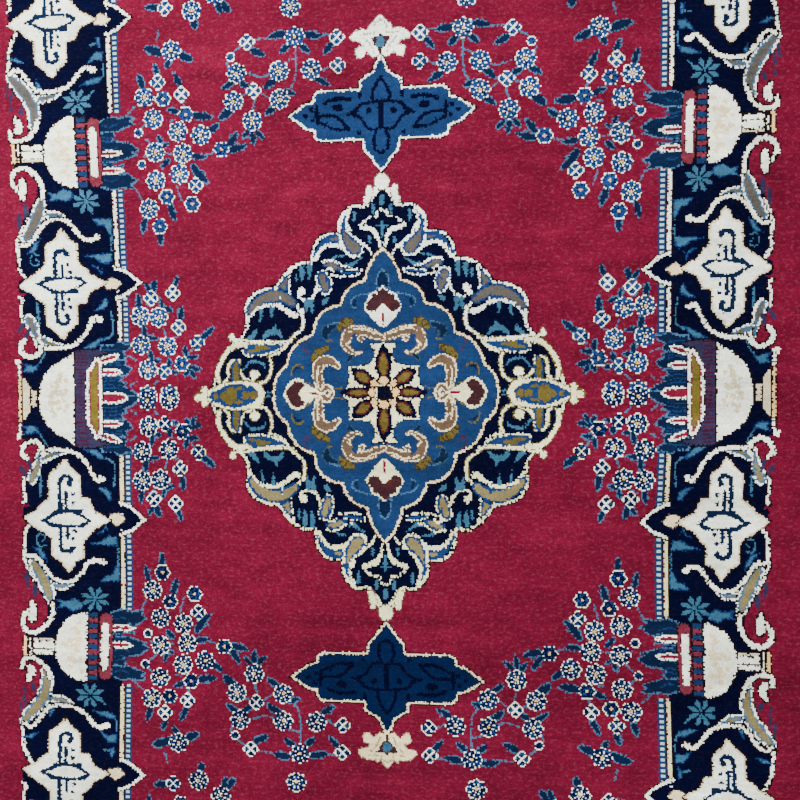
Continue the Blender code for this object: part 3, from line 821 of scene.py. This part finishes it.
def drawRug():
    whole = np.eye(3)
    quarters = [moved(whole, flip=(x, y)) for x in (1, -1) for y in (1, -1)]
    halvesUp = [moved(whole, flip=(1, y)) for y in (1, -1)]
    halvesAcross = [moved(whole, flip=(x, 1)) for x in (1, -1)]
    # Turns a side border into an end border
    turned = np.array([[0, 1, 0], [1, 0, guardY - guardX], [0, 0, 1]])
    for pen in quarters:
        bar(pen, guardX, guardX + borderWide, 0, guardY + borderWide, "navy")
        bar(pen, 0, guardX + 20, guardY, guardY + borderWide, "navy")
    across, cartoucheFar = border["across"], border["cartoucheFar"]
    for pen in quarters:
        end = pen @ turned
        lower = pen[1, 1] < 0
        for run, long in ((pen, guardY), (end, guardX)):
            out = moved(run, (border["scrollsOut"], 0))
            guards(run, long)
            outerEdge(out, long)
            scrollsNear(out)
            scrollsMiddle(out)
            skyMarks(moved(run, (border["marksOut"], 0)))
            outerTicks(run)
            cartouche(moved(run, (across, border["cartoucheNear"])), 8 if lower and run is pen else 0)
        far = moved(pen, (border["scrollsOut"], 0))
        outerEdgeFar(far)
        scrollsFar(far)
        scrollsNear(foldedAt(far, border["scrollFold"]))
        skyMarksFar(far)
        outerTicksFar(pen)
        smallVase(moved(pen, (0, border["vase"])))
        cartouche(moved(pen, (across, cartoucheFar)))
        skyLeaves(foldedAt(far, cartoucheFar), [(448, 508), (460, 496), (484, 482), (468, 488), (452, 496)],
                  [(546, 468), (556, 456), (568, 440), (560, 444), (548, 456)],
                  [(450, 440), (464, 432), (480, 438)])
        cornerRose(moved(pen, (guardX + borderWide / 2, guardY + borderWide / 2)))
    for pen in halvesAcross:
        greatVase(pen)
    for pen in halvesUp:
        greatVase(pen @ turned)
    for pen in quarters:
        fieldFlowers(pen, 0, 0, 700, leans[pen[0, 0], pen[1, 1]])
        fieldFlowers(foldedAt(pen, cartoucheFar), 190, 425, 560)
        fieldFlowers(pen @ turned, 285, 0, 175)
    medallionRing(whole)
    for pen in quarters:
        medallionLeaves(pen)
    for pen in halvesUp:
        medallionCrown(pen)
    for pen in halvesAcross:
        medallionEnds(pen)
    lozenge(whole)
    for pen in quarters:
        lozengeScrolls(pen)
    for pen in halvesUp:
        upperPalmette(pen)
    for pen in halvesAcross:
        sidePalmette(pen)
    for pen in quarters:
        centreRose(pen)
    pendant(moved(whole, flip=(0.97, 1)), "blue", "ivory")
    # The lower pendant is in a darker blue: painted shade where the light falls off towards that end
    pendant(moved(whole, flip=(1.03, -1)), "blueInShade", "cream")
    fieldPalmette(halvesUp[0], 594, "ivory", "stone")
    fieldPalmette(halvesUp[1], 585, "cream", "khaki")
    # Darker wool bites into the ivory outlines of the border and the medallion, as in hand-tied lines
    medallion = np.hypot(knotX / tied["medallion"][0], knotY[:, None] / tied["medallion"][1]) < 1
    bold = (np.abs(knotX) > guardX) | medallion
    biting = [dye[name] for name in ("navy", "brown", "denim", "slate")]
    for seed, (step, axis) in enumerate(((1, 1), (-1, 1), (1, 0), (-1, 0))):
        beside = np.roll(chart, step, axis=axis)
        bitten = bold & (chart == dye["ivory"]) & np.isin(beside, biting)
        bitten &= np.random.default_rng(seed).random(chart.shape) < tied["bitten"]
        chart[bitten] = beside[bitten]
    # The lower half was knotted with other batches of ivory and taupe
    newBatch = knotY[:, None] < tied["batchFrom"] + ragged * tied["batchEdge"]
    chart[(chart == dye["ivory"]) & newBatch & medallion] = dye["straw"]
    chart[(chart == dye["taupe"]) & newBatch] = dye["moss"]


drawRug()
print("rug: drawing worked out,", knotCols, "by", knotRows, "knots")


def toLinear(hexColour):
    channels = [int(hexColour[i:i + 2], 16) / 255 for i in (0, 2, 4)]
    return [c / 12.92 if c <= 0.04045 else ((c + 0.055) / 1.055) ** 2.4 for c in channels] + [1.0]


# Adds a node; settings are sockets or properties, links are outputs
def node(tree, kind, settings=(), **links):
    made = tree.nodes.new("ShaderNode" + kind)
    for key, value in dict(settings).items():
        if isinstance(key, int) or key in made.inputs:
            made.inputs[key].default_value = value
        else:
            setattr(made, key, value)
    for key, value in links.items():
        socket = made.inputs[int(key[1:])] if key[0] == "i" and key[1:].isdigit() else made.inputs[key]
        tree.links.new(value, socket)
    return made


def newMaterial(name):
    material = bpy.data.materials.new(name)
    material.use_nodes = True
    tree = material.node_tree
    return material, tree, tree.nodes["Principled BSDF"]


pile = {    # mm, then shares of the colour, of which the broad patches are painted sheen and shade and the pale pink flecks painted sheen; reliefDeep is in metres
    "knotMm": 2.1, "speckle": 0.34, "streak": 0.14, "abrash": 0.22, "pileLieSheenShade": 0.28, "cloud": 0.36, "sheenFleck": 0.10,
    "sheenFleckColour": "F4A0B0", "relief": 0.55, "reliefDeep": 0.0010, "roughness": 0.92, "gloss": 0.03,
}


# Wool, hand-knotted and shorn: matt, every tuft its own shade, and painted sheen in pale pink flecks here and
# there
def cutWoolPile():
    material, tree, shader = newMaterial("woolPileKnottedShorn")
    at = node(tree, "TexCoord").outputs["Object"]
    mm = node(tree, "Mapping", {"Scale": (1000, 1000, 1000)}, Vector=at).outputs[0]
    dyed = node(tree, "Attribute", {"attribute_name": "dye"}).outputs["Color"]
    tuft = node(tree, "VectorMath", {"operation": "SNAP", 1: (pile["knotMm"], pile["knotMm"], 100)}, i0=mm)
    tuftShade = node(tree, "TexWhiteNoise", {"noise_dimensions": "3D"},
                     Vector=tuft.outputs[0]).outputs["Value"]
    shade = node(tree, "Math", {"operation": "MULTIPLY_ADD", 1: pile["speckle"], 2: 1 - pile["speckle"] / 2},
                 i0=tuftShade).outputs[0]
    # Rows that took the dye lighter or darker, bands of a new batch of wool, broad patches of painted sheen
    # and shade where the pile lies different ways, small clouds
    for name, lengthMm, depthMm, detail in (("streak", 150, 4.2, 2), ("abrash", 900, 26, 2),
                                            ("pileLieSheenShade", 170, 170, 2), ("cloud", 44, 26, 3)):
        spread = node(tree, "Mapping", {"Scale": (1 / lengthMm, 1 / depthMm, 1)}, Vector=mm).outputs[0]
        noise = node(tree, "TexNoise", {"Scale": 1.0, "Detail": float(detail), "Roughness": 0.65},
                     Vector=spread)
        part = node(tree, "MapRange", {1: 0.32, 2: 0.68, 3: 1 - pile[name] / 2, 4: 1 + pile[name] / 2},
                    Value=noise.outputs[0]).outputs[0]
        shade = node(tree, "Math", {"operation": "MULTIPLY"}, i0=shade, i1=part).outputs[0]
    coloured = node(tree, "VectorMath", {"operation": "SCALE"}, i0=dyed, Scale=shade).outputs[0]
    # Pale pink flecks mixed into the colour: painted sheen where the fibre tips catch the light
    strewn = node(tree, "Mapping", {"Scale": (1 / 7, 1 / 4.5, 1)}, Vector=mm).outputs[0]
    fibre = node(tree, "TexNoise", {"Scale": 1.0, "Detail": 4.0, "Roughness": 0.7}, Vector=strewn).outputs[0]
    sheenFleck = node(tree, "MapRange", {1: 0.52, 2: 0.78, 3: 0.0, 4: pile["sheenFleck"]}, Value=fibre).outputs[0]
    red = node(tree, "SeparateColor", Color=dyed).outputs[0]
    shown = node(tree, "Math", {"operation": "MULTIPLY_ADD", 1: 7.0, 2: 0.1, "use_clamp": True},
                 i0=red).outputs[0]
    # The painted sheen shows less on dark wool
    sheenFleck = node(tree, "Math", {"operation": "MULTIPLY"}, i0=sheenFleck, i1=shown).outputs[0]
    pale = {"data_type": "RGBA", 7: toLinear(pile["sheenFleckColour"])}
    haze = node(tree, "Mix", pale, i0=sheenFleck, i6=coloured).outputs[2]
    tree.links.new(haze, shader.inputs["Base Color"])
    nap = node(tree, "TexNoise", {"Scale": 1 / 1.5, "Detail": 3.0, "Roughness": 0.7}, Vector=mm).outputs[0]
    relief = node(tree, "Math", {"operation": "ADD"}, i0=nap, i1=tuftShade).outputs[0]
    bump = node(tree, "Bump", {"Strength": pile["relief"], "Distance": pile["reliefDeep"]},
                Height=relief).outputs[0]
    tree.links.new(bump, shader.inputs["Normal"])
    shader.inputs["Roughness"].default_value = pile["roughness"]
    shader.inputs["Specular IOR Level"].default_value = pile["gloss"]
    return material


# Spun yarn: fine slanting plies, fuzzy
def yarn(name, hexColour, plyMm, along, weight=0.5, roughness=0.85):
    material, tree, shader = newMaterial(name)
    at = node(tree, "TexCoord").outputs["Object"]
    mm = node(tree, "Mapping", {"Scale": (1000, 1000, 1000)}, Vector=at).outputs[0]
    drawn = node(tree, "Mapping", {"Scale": tuple(1 / (plyMm * s) for s in along)}, Vector=mm).outputs[0]
    fibre = node(tree, "TexNoise", {"Scale": 1.0, "Detail": 3.0, "Roughness": 0.7}, Vector=drawn).outputs[0]
    soiled = node(tree, "TexNoise", {"Scale": 1 / 45, "Detail": 2.0}, Vector=mm).outputs[0]
    both = node(tree, "Math", {"operation": "MULTIPLY"}, i0=fibre, i1=soiled).outputs[0]
    shade = node(tree, "Math", {"operation": "MULTIPLY_ADD", 1: weight * 2.4, 2: 1 - weight * 0.62},
                 i0=both).outputs[0]
    dyed = node(tree, "VectorMath", {"operation": "SCALE", 0: toLinear(hexColour)[:3]},
                Scale=shade).outputs[0]
    tree.links.new(dyed, shader.inputs["Base Color"])
    bump = node(tree, "Bump", {"Strength": 0.6, "Distance": 0.0005}, Height=fibre).outputs[0]
    tree.links.new(bump, shader.inputs["Normal"])
    shader.inputs["Roughness"].default_value = roughness
    shader.inputs["Specular IOR Level"].default_value = 0.25
    shader.inputs["Sheen Weight"].default_value = 0.2
    shader.inputs["Sheen Roughness"].default_value = 0.5
    return material


body = {    # metres, rows and columns
    "node": "rug_body", "strips": 4, "thick": 0.0100, "edgeDrop": 0.0028, "jitter": 0.00025,
    "foldRow": 500, "seamEvery": 23, "waistDeep": 0.011, "waistAt": -0.145, "waistReach": 0.600,
}


def waist(y):    # how far each long side is drawn in
    share = np.clip(1 - ((y - body["waistAt"]) / body["waistReach"]) ** 2, 0, None)
    return body["waistDeep"] * share ** 2


# Metres: how far each border wanders at the y values before it, and how much wider the left one is
weave = {
    "leftY": (-0.30, -0.13, 0.15, 0.30, 0.50, 0.60), "left": (0.001, -0.001, 0.0037, 0.003, -0.0015, -0.0035),
    "rightY": (-0.55, -0.35, -0.20, -0.10, 0.00, 0.15, 0.25, 0.40, 0.55),
    "right": (-0.0035, -0.002, 0, 0.005, 0.004, 0.002, 0, 0, 0.0027),
    "wider": 0.020, "middle": 0.0045,
    "sagY": (-0.60, -0.42, -0.28, -0.18, 0, 0.12, 0.35, 0.60),
    "sagLeft": (0, -0.0040, -0.0055, -0.0022, 0, -0.0022, -0.0036, -0.0030),
    "sagRight": (0, -0.0020, -0.0050, 0.0010, 0, 0, -0.0012, -0.0015),
}


def settle(x, y):    # the drawing's square frame as it was really woven
    wander = np.interp(x, (-0.677, -0.60, -0.40, 0),
                       (0, 1, 1, 0)) * np.interp(y, weave["leftY"], weave["left"])
    wander += np.interp(x, (0, 0.40, 0.60, 0.677),
                        (0, 1, 1, 0)) * np.interp(y, weave["rightY"], weave["right"])
    wider = np.interp(x, (-0.677, -0.590, -0.438, 0.677), (0, -weave["wider"], 0, 0))
    drawnIn = waist(y) * np.clip(x / (guardX / 1000), -1, 1)
    middle = weave["middle"] * np.clip(1 - (np.hypot(x, y) / 0.32) ** 2, 0, 1)
    toRight = np.clip(0.5 + x, 0, 1)
    sag = (1 - toRight) * np.interp(y, weave["sagY"], weave["sagLeft"])
    sag += toRight * np.interp(y, weave["sagY"], weave["sagRight"])
    return x + wander + wider - drawnIn, y + middle + sag


def readArray(items, key, width, kind=np.float32):
    values = np.zeros(len(items) * width, kind)
    items.foreach_get(key, values)
    return values.reshape(-1, width) if width > 1 else values


def pileStrip(name, firstCol, lastCol, material):
    cols = lastCol - firstCol
    wide, long = rug["width"] / knotCols / 1000, rug["length"] / knotRows / 1000
    bm = bmesh.new()
    place = Matrix.Translation(((firstCol + cols / 2 - knotCols / 2) * wide, 0, body["thick"]))
    place = place @ Matrix.Diagonal((cols * wide, knotRows * long, 1, 1))
    bmesh.ops.create_grid(bm, x_segments=cols, y_segments=knotRows, size=0.5, matrix=place)
    mesh = bpy.data.meshes.new(name)
    bm.to_mesh(mesh)
    centre = readArray(mesh.polygons, "center", 3)
    col = np.floor(centre[:, 0] / wide + knotCols / 2).astype(int)
    row = np.floor(centre[:, 1] / long + knotRows / 2).astype(int)
    mesh.polygons.foreach_set("material_index", chart[row, col].astype(np.int32))
    co = readArray(mesh.vertices, "co", 3)
    vertCol = np.rint(co[:, 0] / wide + knotCols / 2).astype(int)
    vertRow = np.rint(co[:, 1] / long + knotRows / 2).astype(int)
    a, b = readArray(mesh.edges, "vertices", 2, np.int32).T
    atCol = (vertCol[a] % body["seamEvery"] == 0) | np.isin(vertCol[a], [1, knotCols - 1])
    atRow = ((vertRow[a] - body["foldRow"]) % body["seamEvery"] == 0) | np.isin(vertRow[a], [1, knotRows - 1])
    seam = ((vertCol[a] == vertCol[b]) & atCol) | ((vertRow[a] == vertRow[b]) & atRow)
    mesh.edges.foreach_set("use_seam", seam)
    bm.clear()
    bm.from_mesh(mesh)
    # Knots of one colour become one face, within a coarse lattice that keeps the faces small
    bmesh.ops.dissolve_limit(bm, angle_limit=0.02, use_dissolve_boundaries=False, verts=bm.verts,
                             edges=bm.edges, delimit={"MATERIAL", "SEAM"})
    for edge in bm.edges:
        edge.seam = False
    walls = bmesh.ops.extrude_face_region(bm, geom=bm.faces[:], use_keep_orig=True)
    under = [v for v in walls["geom"] if isinstance(v, bmesh.types.BMVert)]
    bmesh.ops.translate(bm, verts=under, vec=(0, 0, -body["thick"]))
    bmesh.ops.recalc_face_normals(bm, faces=bm.faces)
    bm.to_mesh(mesh)
    bm.free()
    dyeFaces(mesh)
    foldUv(mesh, firstCol, cols)
    layUneven(mesh)
    mesh.materials.append(material)
    strip = bpy.data.objects.new(name, mesh)
    scene.collection.objects.link(strip)
    return strip


def dyeFaces(mesh):    # each face's chart colour becomes the wool's own dye
    palette = np.array([toLinear(colour) for colour in dyeColours.values()], np.float32)
    index = readArray(mesh.polygons, "material_index", 1, np.int32)
    mesh.attributes.new("dye", "FLOAT_COLOR", "FACE").data.foreach_set("color", palette[index].ravel())
    mesh.polygons.foreach_set("material_index", np.zeros(len(index), np.int32))


def foldUv(mesh, firstCol, cols):    # the top in two halves side by side at full scale, the back beside them
    wide, long = rug["width"] / knotCols / 1000, rug["length"] / knotRows / 1000
    loopVert = readArray(mesh.loops, "vertex_index", 1, np.int32)
    co = readArray(mesh.vertices, "co", 3)[loopVert]
    counts = readArray(mesh.polygons, "loop_total", 1, np.int32)
    up = np.repeat(readArray(mesh.polygons, "normal", 3)[:, 2], counts)
    far = np.repeat(readArray(mesh.polygons, "center", 3)[:, 1] > (body["foldRow"] - knotRows / 2) * long,
                    counts)
    across = (co[:, 0] / wide + knotCols / 2 - firstCol) / cols
    along = co[:, 1] / (rug["length"] / 1000) + 0.5
    u = np.where(up > 0.5, 0.002 + 0.318 * across + 0.325 * far, 0.655 + 0.165 * across)
    v = np.where(up > 0.5, 2 * along - far, along)
    side = np.abs(up) <= 0.5
    u = np.where(side, 0.84 + 0.15 * across, u)
    v = np.where(side, along + 0.001 * co[:, 2] / body["thick"], v)
    uv = np.stack([u, 0.002 + 0.995 * v], 1).astype(np.float32)
    mesh.uv_layers.new(name="OFBake").data.foreach_set("uv", uv.ravel())


def layUneven(mesh):    # no two knots line up exactly; the shorn edge of the pile rolls down
    co = readArray(mesh.vertices, "co", 3)
    x, y, z = co[:, 0].copy(), co[:, 1].copy(), co[:, 2].copy()
    col = np.rint((x / (rug["width"] / 1000) + 0.5) * knotCols).astype(int)
    row = np.rint((y / (rug["length"] / 1000) + 0.5) * knotRows).astype(int)
    rim = (col == 0) | (col == knotCols) | (row == 0) | (row == knotRows)
    nextRim = (col == 1) | (col == knotCols - 1) | (row == 1) | (row == knotRows - 1)
    shift = np.random.default_rng(7).uniform(-1, 1, (2, knotRows + 1, knotCols + 1)) * body["jitter"]
    shift[:, :, [0, knotCols]] = 0
    shift[:, [0, knotRows], :] = 0
    newX, newY = settle(x + shift[0][row, col], y + shift[1][row, col])
    top = z > body["thick"] / 2
    drop = np.where(rim, body["edgeDrop"], np.where(nextRim, body["edgeDrop"] * 0.3, 0))
    co[:, 0], co[:, 1], co[:, 2] = newX, newY, np.where(top, z - drop, z)
    mesh.vertices.foreach_set("co", co.ravel())
    mesh.update()


def rideOn(piece, nodeNames):
    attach(piece, "root")
    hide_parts(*nodeNames)


wool = cutWoolPile()
stripNames = ["pileBorderLeft", "pileFieldLeft", "pileFieldRight", "pileBorderRight"]
stripCols = knotCols // body["strips"]
for index, stripName in enumerate(stripNames):
    strip = pileStrip(stripName, index * stripCols, (index + 1) * stripCols, wool)
    rideOn(strip, [body["node"]])
    print("rug:", stripName, len(strip.data.polygons), "faces")


def finished(name, bm, material, place=None):    # a bmesh becomes a piece, with its place in its mesh
    mesh = bpy.data.meshes.new(name)
    bm.to_mesh(mesh)
    bm.free()
    if place is not None:
        co = place(readArray(mesh.vertices, "co", 3))
        mesh.vertices.foreach_set("co", co.ravel())
        mesh.update()
    mesh.materials.append(material)
    piece = bpy.data.objects.new(name, mesh)
    scene.collection.objects.link(piece)
    return piece


# Metres: the radius of the cord and of a turn's ridge; the groove is a share of that
overcast = {"turns": 700, "sides": 10, "slant": 0.45, "cord": 0.004, "ridge": 0.0039, "groove": 0.86}


def overcastSide(name, nodeName, side):    # wool wrapped round the edge cords, one ridge for each turn
    low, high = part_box(nodeName)
    middle = (rug["width"] / 2000 + rug["sewn"] + overcast["cord"]) * side
    pitch = (high.y - low.y) / overcast["turns"]
    bm = bmesh.new()
    ring = bmesh.ops.create_circle(bm, cap_ends=False, segments=overcast["sides"], radius=overcast["ridge"],
                                   matrix=Matrix.Rotation(math.pi / 2, 4, "X"))["verts"]
    groove = overcast["groove"]
    bmesh.ops.scale(bm, verts=ring, vec=(groove, 1, groove))
    edges = bm.edges[:]
    for step, size in ((0.25, 1 / groove), (0.5, 1.0), (0.25, groove)):
        grown = bmesh.ops.extrude_edge_only(bm, edges=edges)["geom"]
        ring = [v for v in grown if isinstance(v, bmesh.types.BMVert)]
        edges = [e for e in grown if isinstance(e, bmesh.types.BMEdge) and set(e.verts) <= set(ring)]
        bmesh.ops.translate(bm, verts=ring, vec=(0, pitch * step, 0))
        bmesh.ops.scale(bm, verts=ring, vec=(size, 1, size))
    turnMesh = bpy.data.meshes.new(name + "Turn")
    bm.to_mesh(turnMesh)
    bm.free()
    one = bpy.data.objects.new(name + "Turn", turnMesh)
    scene.collection.objects.link(one)
    rows = one.modifiers.new("turns", "ARRAY")
    rows.count = overcast["turns"]
    rows.use_relative_offset = False
    rows.use_constant_offset = True
    rows.constant_offset_displace = (0, pitch, 0)
    rows.use_merge_vertices = True
    rows.merge_threshold = 0.00005
    whole = bpy.data.meshes.new_from_object(one.evaluated_get(bpy.context.evaluated_depsgraph_get()))
    bpy.data.objects.remove(one)
    bm = bmesh.new()
    bm.from_mesh(whole)
    bmesh.ops.holes_fill(bm, edges=[e for e in bm.edges if e.is_boundary], sides=overcast["sides"])
    bmesh.ops.recalc_face_normals(bm, faces=bm.faces)

    def place(co):
        x, y, z = co.T
        straight = np.clip((y - 0.004) / 0.01, 0, 1), np.clip((high.y - low.y - y - 0.004) / 0.01, 0, 1)
        y = low.y + y + overcast["slant"] * x * side * straight[0] * straight[1]    # no slant at its two ends
        wobble = 0.00018 * np.sin(y * 900) + 0.00015 * np.sin(y * 377)
        return np.stack([x + wobble + middle - side * waist(y), y, z + overcast["cord"]],
                        1).astype(np.float32)

    piece = finished(name, bm, overcastWool, place)
    rideOn(piece, [nodeName])
    return piece


overcastWool = yarn("woolYarnOvercastRed", "5A1228", 0.8, (4, 1, 4))
selvedges = [overcastSide("overcastLeft", "selvedge_left", -1),
             overcastSide("overcastRight", "selvedge_right", 1)]
print("rug: overcast sides wrapped")

endCloth = {"deep": 0.016, "thick": 0.0024, "warps": 260, "wefts": 11, "relief": 0.0007}    # metres
tassels = {    # metres
    "count": 130, "length": 0.056, "uneven": 0.005, "plies": 3, "plyRadius": 0.00098, "twist": 0.00098,
    "turns": 2.6, "steps": 9, "drift": 0.0045, "seed": 11,
}


def wovenEnd(name, side):    # a narrow flat-woven strip of cotton that holds the last row of knots
    wide, near = rug["width"] / 1000, rug["length"] / 2000 + rug["sewn"]
    cols, rows = endCloth["warps"] * 2, endCloth["wefts"] * 2
    place = Matrix.Translation((0, side * (near + endCloth["deep"] / 2), endCloth["thick"]))
    place = place @ Matrix.Diagonal((wide, endCloth["deep"], 1, 1))
    bm = bmesh.new()
    bmesh.ops.create_grid(bm, x_segments=cols, y_segments=rows, size=0.5, matrix=place)
    for vert in bm.verts:    # wefts pass over one warp and under the next
        col = round((vert.co.x / wide + 0.5) * cols)
        row = round(((side * vert.co.y - near) / endCloth["deep"]) * rows)
        over = math.cos(math.pi * col / 2 + math.pi * (row // 2 % 2)) * (1 if row % 2 else 0.2)
        vert.co.z += endCloth["relief"] * (over - 1) * 0.5
    walls = bmesh.ops.extrude_face_region(bm, geom=bm.faces[:], use_keep_orig=True)
    under = [v for v in walls["geom"] if isinstance(v, bmesh.types.BMVert)]
    for vert in under:
        vert.co.z = 0.0002
    bmesh.ops.recalc_face_normals(bm, faces=bm.faces)
    return finished(name, bm, cottonWarp, settleEnd)


def settleEnd(co):
    co[:, 0] = co[:, 0] * (1 - waist(co[:, 1]) / (rug["width"] / 2000))
    return co


def fringe(name, side):    # each lock is a few warps twisted together and left loose at the tip
    long, near = tassels["length"], rug["length"] / 2000 + rug["sewn"] + endCloth["deep"]
    draw = random.Random(tassels["seed"] + side)
    bm = bmesh.new()
    pitch = rug["width"] / 1000 / tassels["count"]
    ply = bpy.data.meshes.new(name + "Ply")
    one = bmesh.new()
    bmesh.ops.create_circle(one, cap_ends=True, segments=5, radius=tassels["plyRadius"],
                            matrix=Matrix.Rotation(math.pi / 2, 4, "X"))
    face = list(one.faces)[0]
    for step in range(tassels["steps"]):
        grown = bmesh.ops.extrude_face_region(one, geom=[face])["geom"]
        face = next(f for f in grown if isinstance(f, bmesh.types.BMFace))
        bmesh.ops.translate(one, verts=face.verts[:], vec=(0, long / tassels["steps"], 0))
    bmesh.ops.scale(one, verts=face.verts[:], vec=(0.35, 1, 0.35))
    bmesh.ops.recalc_face_normals(one, faces=one.faces)
    one.to_mesh(ply)
    one.free()
    count = len(ply.vertices)
    for strand in range(tassels["count"] * tassels["plies"]):
        bm.from_mesh(ply)
    if side < 0:
        bmesh.ops.reverse_faces(bm, faces=bm.faces)
    seeds = [(draw.uniform(0, 6.28), draw.uniform(-1, 1), draw.uniform(0.92, 1.0))
             for strand in range(tassels["count"] * tassels["plies"])]

    def place(co):
        strand = np.arange(len(co)) // count
        lock, which = strand // tassels["plies"], strand % tassels["plies"]
        phase, lean, share = np.array(seeds).T[:, strand]
        rootX = -rug["width"] / 2000 + pitch * (lock + 0.5)
        t = co[:, 1] / long
        length = long - tassels["uneven"] * (0.5 + 0.5 * np.sin(2.4 * lock) * np.cos(0.37 * lock))
        angle = 2 * math.pi * (which / tassels["plies"] + tassels["turns"] * t) + phase
        spread = tassels["twist"] * (1.25 - 0.5 * t)
        drift = tassels["drift"] * (0.7 * np.sin(9 * rootX + 0.8) + 0.3 * np.sin(31 * rootX)) * t ** 1.5
        x = rootX + co[:, 0] + spread * np.cos(angle) + drift + 0.0007 * lean * t ** 3
        z = 0.0016 + (co[:, 2] + spread * np.sin(angle) * 0.55) * (1 - 0.15 * t)
        y = side * (near + t * length * share)
        return settleEnd(np.stack([x, y, np.maximum(z, 0.0001)], 1).astype(np.float32))

    return finished(name, bm, cottonWarp, place)


cottonWarp = yarn("cottonWarpUndyed", "C2B28C", 0.7, (1, 5, 1))
for endName, nodeName, side in (("Far", "fringe_far", 1), ("Near", "fringe_near", -1)):
    strip = wovenEnd("wovenEnd" + endName, side)
    locks = fringe("fringe" + endName, side)
    rideOn(strip, [nodeName])
    rideOn(locks, [nodeName])
print("rug: ends woven and fringed")

view = {"fov": 50.0, "at": (0.1694, 0.0109, 1.3396), "turn": (-0.808, 6.172, -0.508)}    # degrees, metres
turn = Vector([math.radians(a) for a in view["turn"]])
camera = bpy.data.objects.new("camera", bpy.data.cameras.new("camera"))
camera.data.sensor_fit = "HORIZONTAL"
camera.data.angle = math.radians(view["fov"])
camera.matrix_world = Matrix.Translation(view["at"]) @ Matrix.Rotation(turn.length, 4, turn.normalized())
scene.collection.objects.link(camera)
scene.camera = camera

studio = {    # watts and metres
    "keyWatts": 138.0, "keyAt": (-1.2, 1.25, 1.7), "keySize": 1.8,
    "fillWatts": 14.0, "fillAt": (1.6, -1.6, 2.4), "fillSize": 2.0,
    "sky": 0.95, "skyColour": "F4F5F7", "floorColour": "D9D6D0", "floorSize": 14.0,
}


def softbox(name, at, watts, size):
    lamp = bpy.data.lights.new(name, "AREA")
    lamp.energy, lamp.size = watts, size
    holder = bpy.data.objects.new(name, lamp)
    holder.location = at
    holder.rotation_euler = (-Vector(at)).to_track_quat("-Z", "Y").to_euler()
    scene.collection.objects.link(holder)


softbox("keySoftbox", studio["keyAt"], studio["keyWatts"], studio["keySize"])
softbox("fillSoftbox", studio["fillAt"], studio["fillWatts"], studio["fillSize"])
world = bpy.data.worlds.new("studio")
world.use_nodes = True
world.node_tree.nodes["Background"].inputs["Color"].default_value = toLinear(studio["skyColour"])
world.node_tree.nodes["Background"].inputs["Strength"].default_value = studio["sky"]
scene.world = world

floorMesh = bpy.data.meshes.new("floor")
bm = bmesh.new()
bmesh.ops.create_grid(bm, x_segments=1, y_segments=1, size=studio["floorSize"])
bm.to_mesh(floorMesh)
bm.free()
floor = bpy.data.objects.new("floor", floorMesh)
floorPaint, _, floorShader = newMaterial("floorPaintedBoard")
floorShader.inputs["Base Color"].default_value = toLinear(studio["floorColour"])
floorShader.inputs["Roughness"].default_value = 0.8
floorMesh.materials.append(floorPaint)
scene.collection.objects.link(floor)
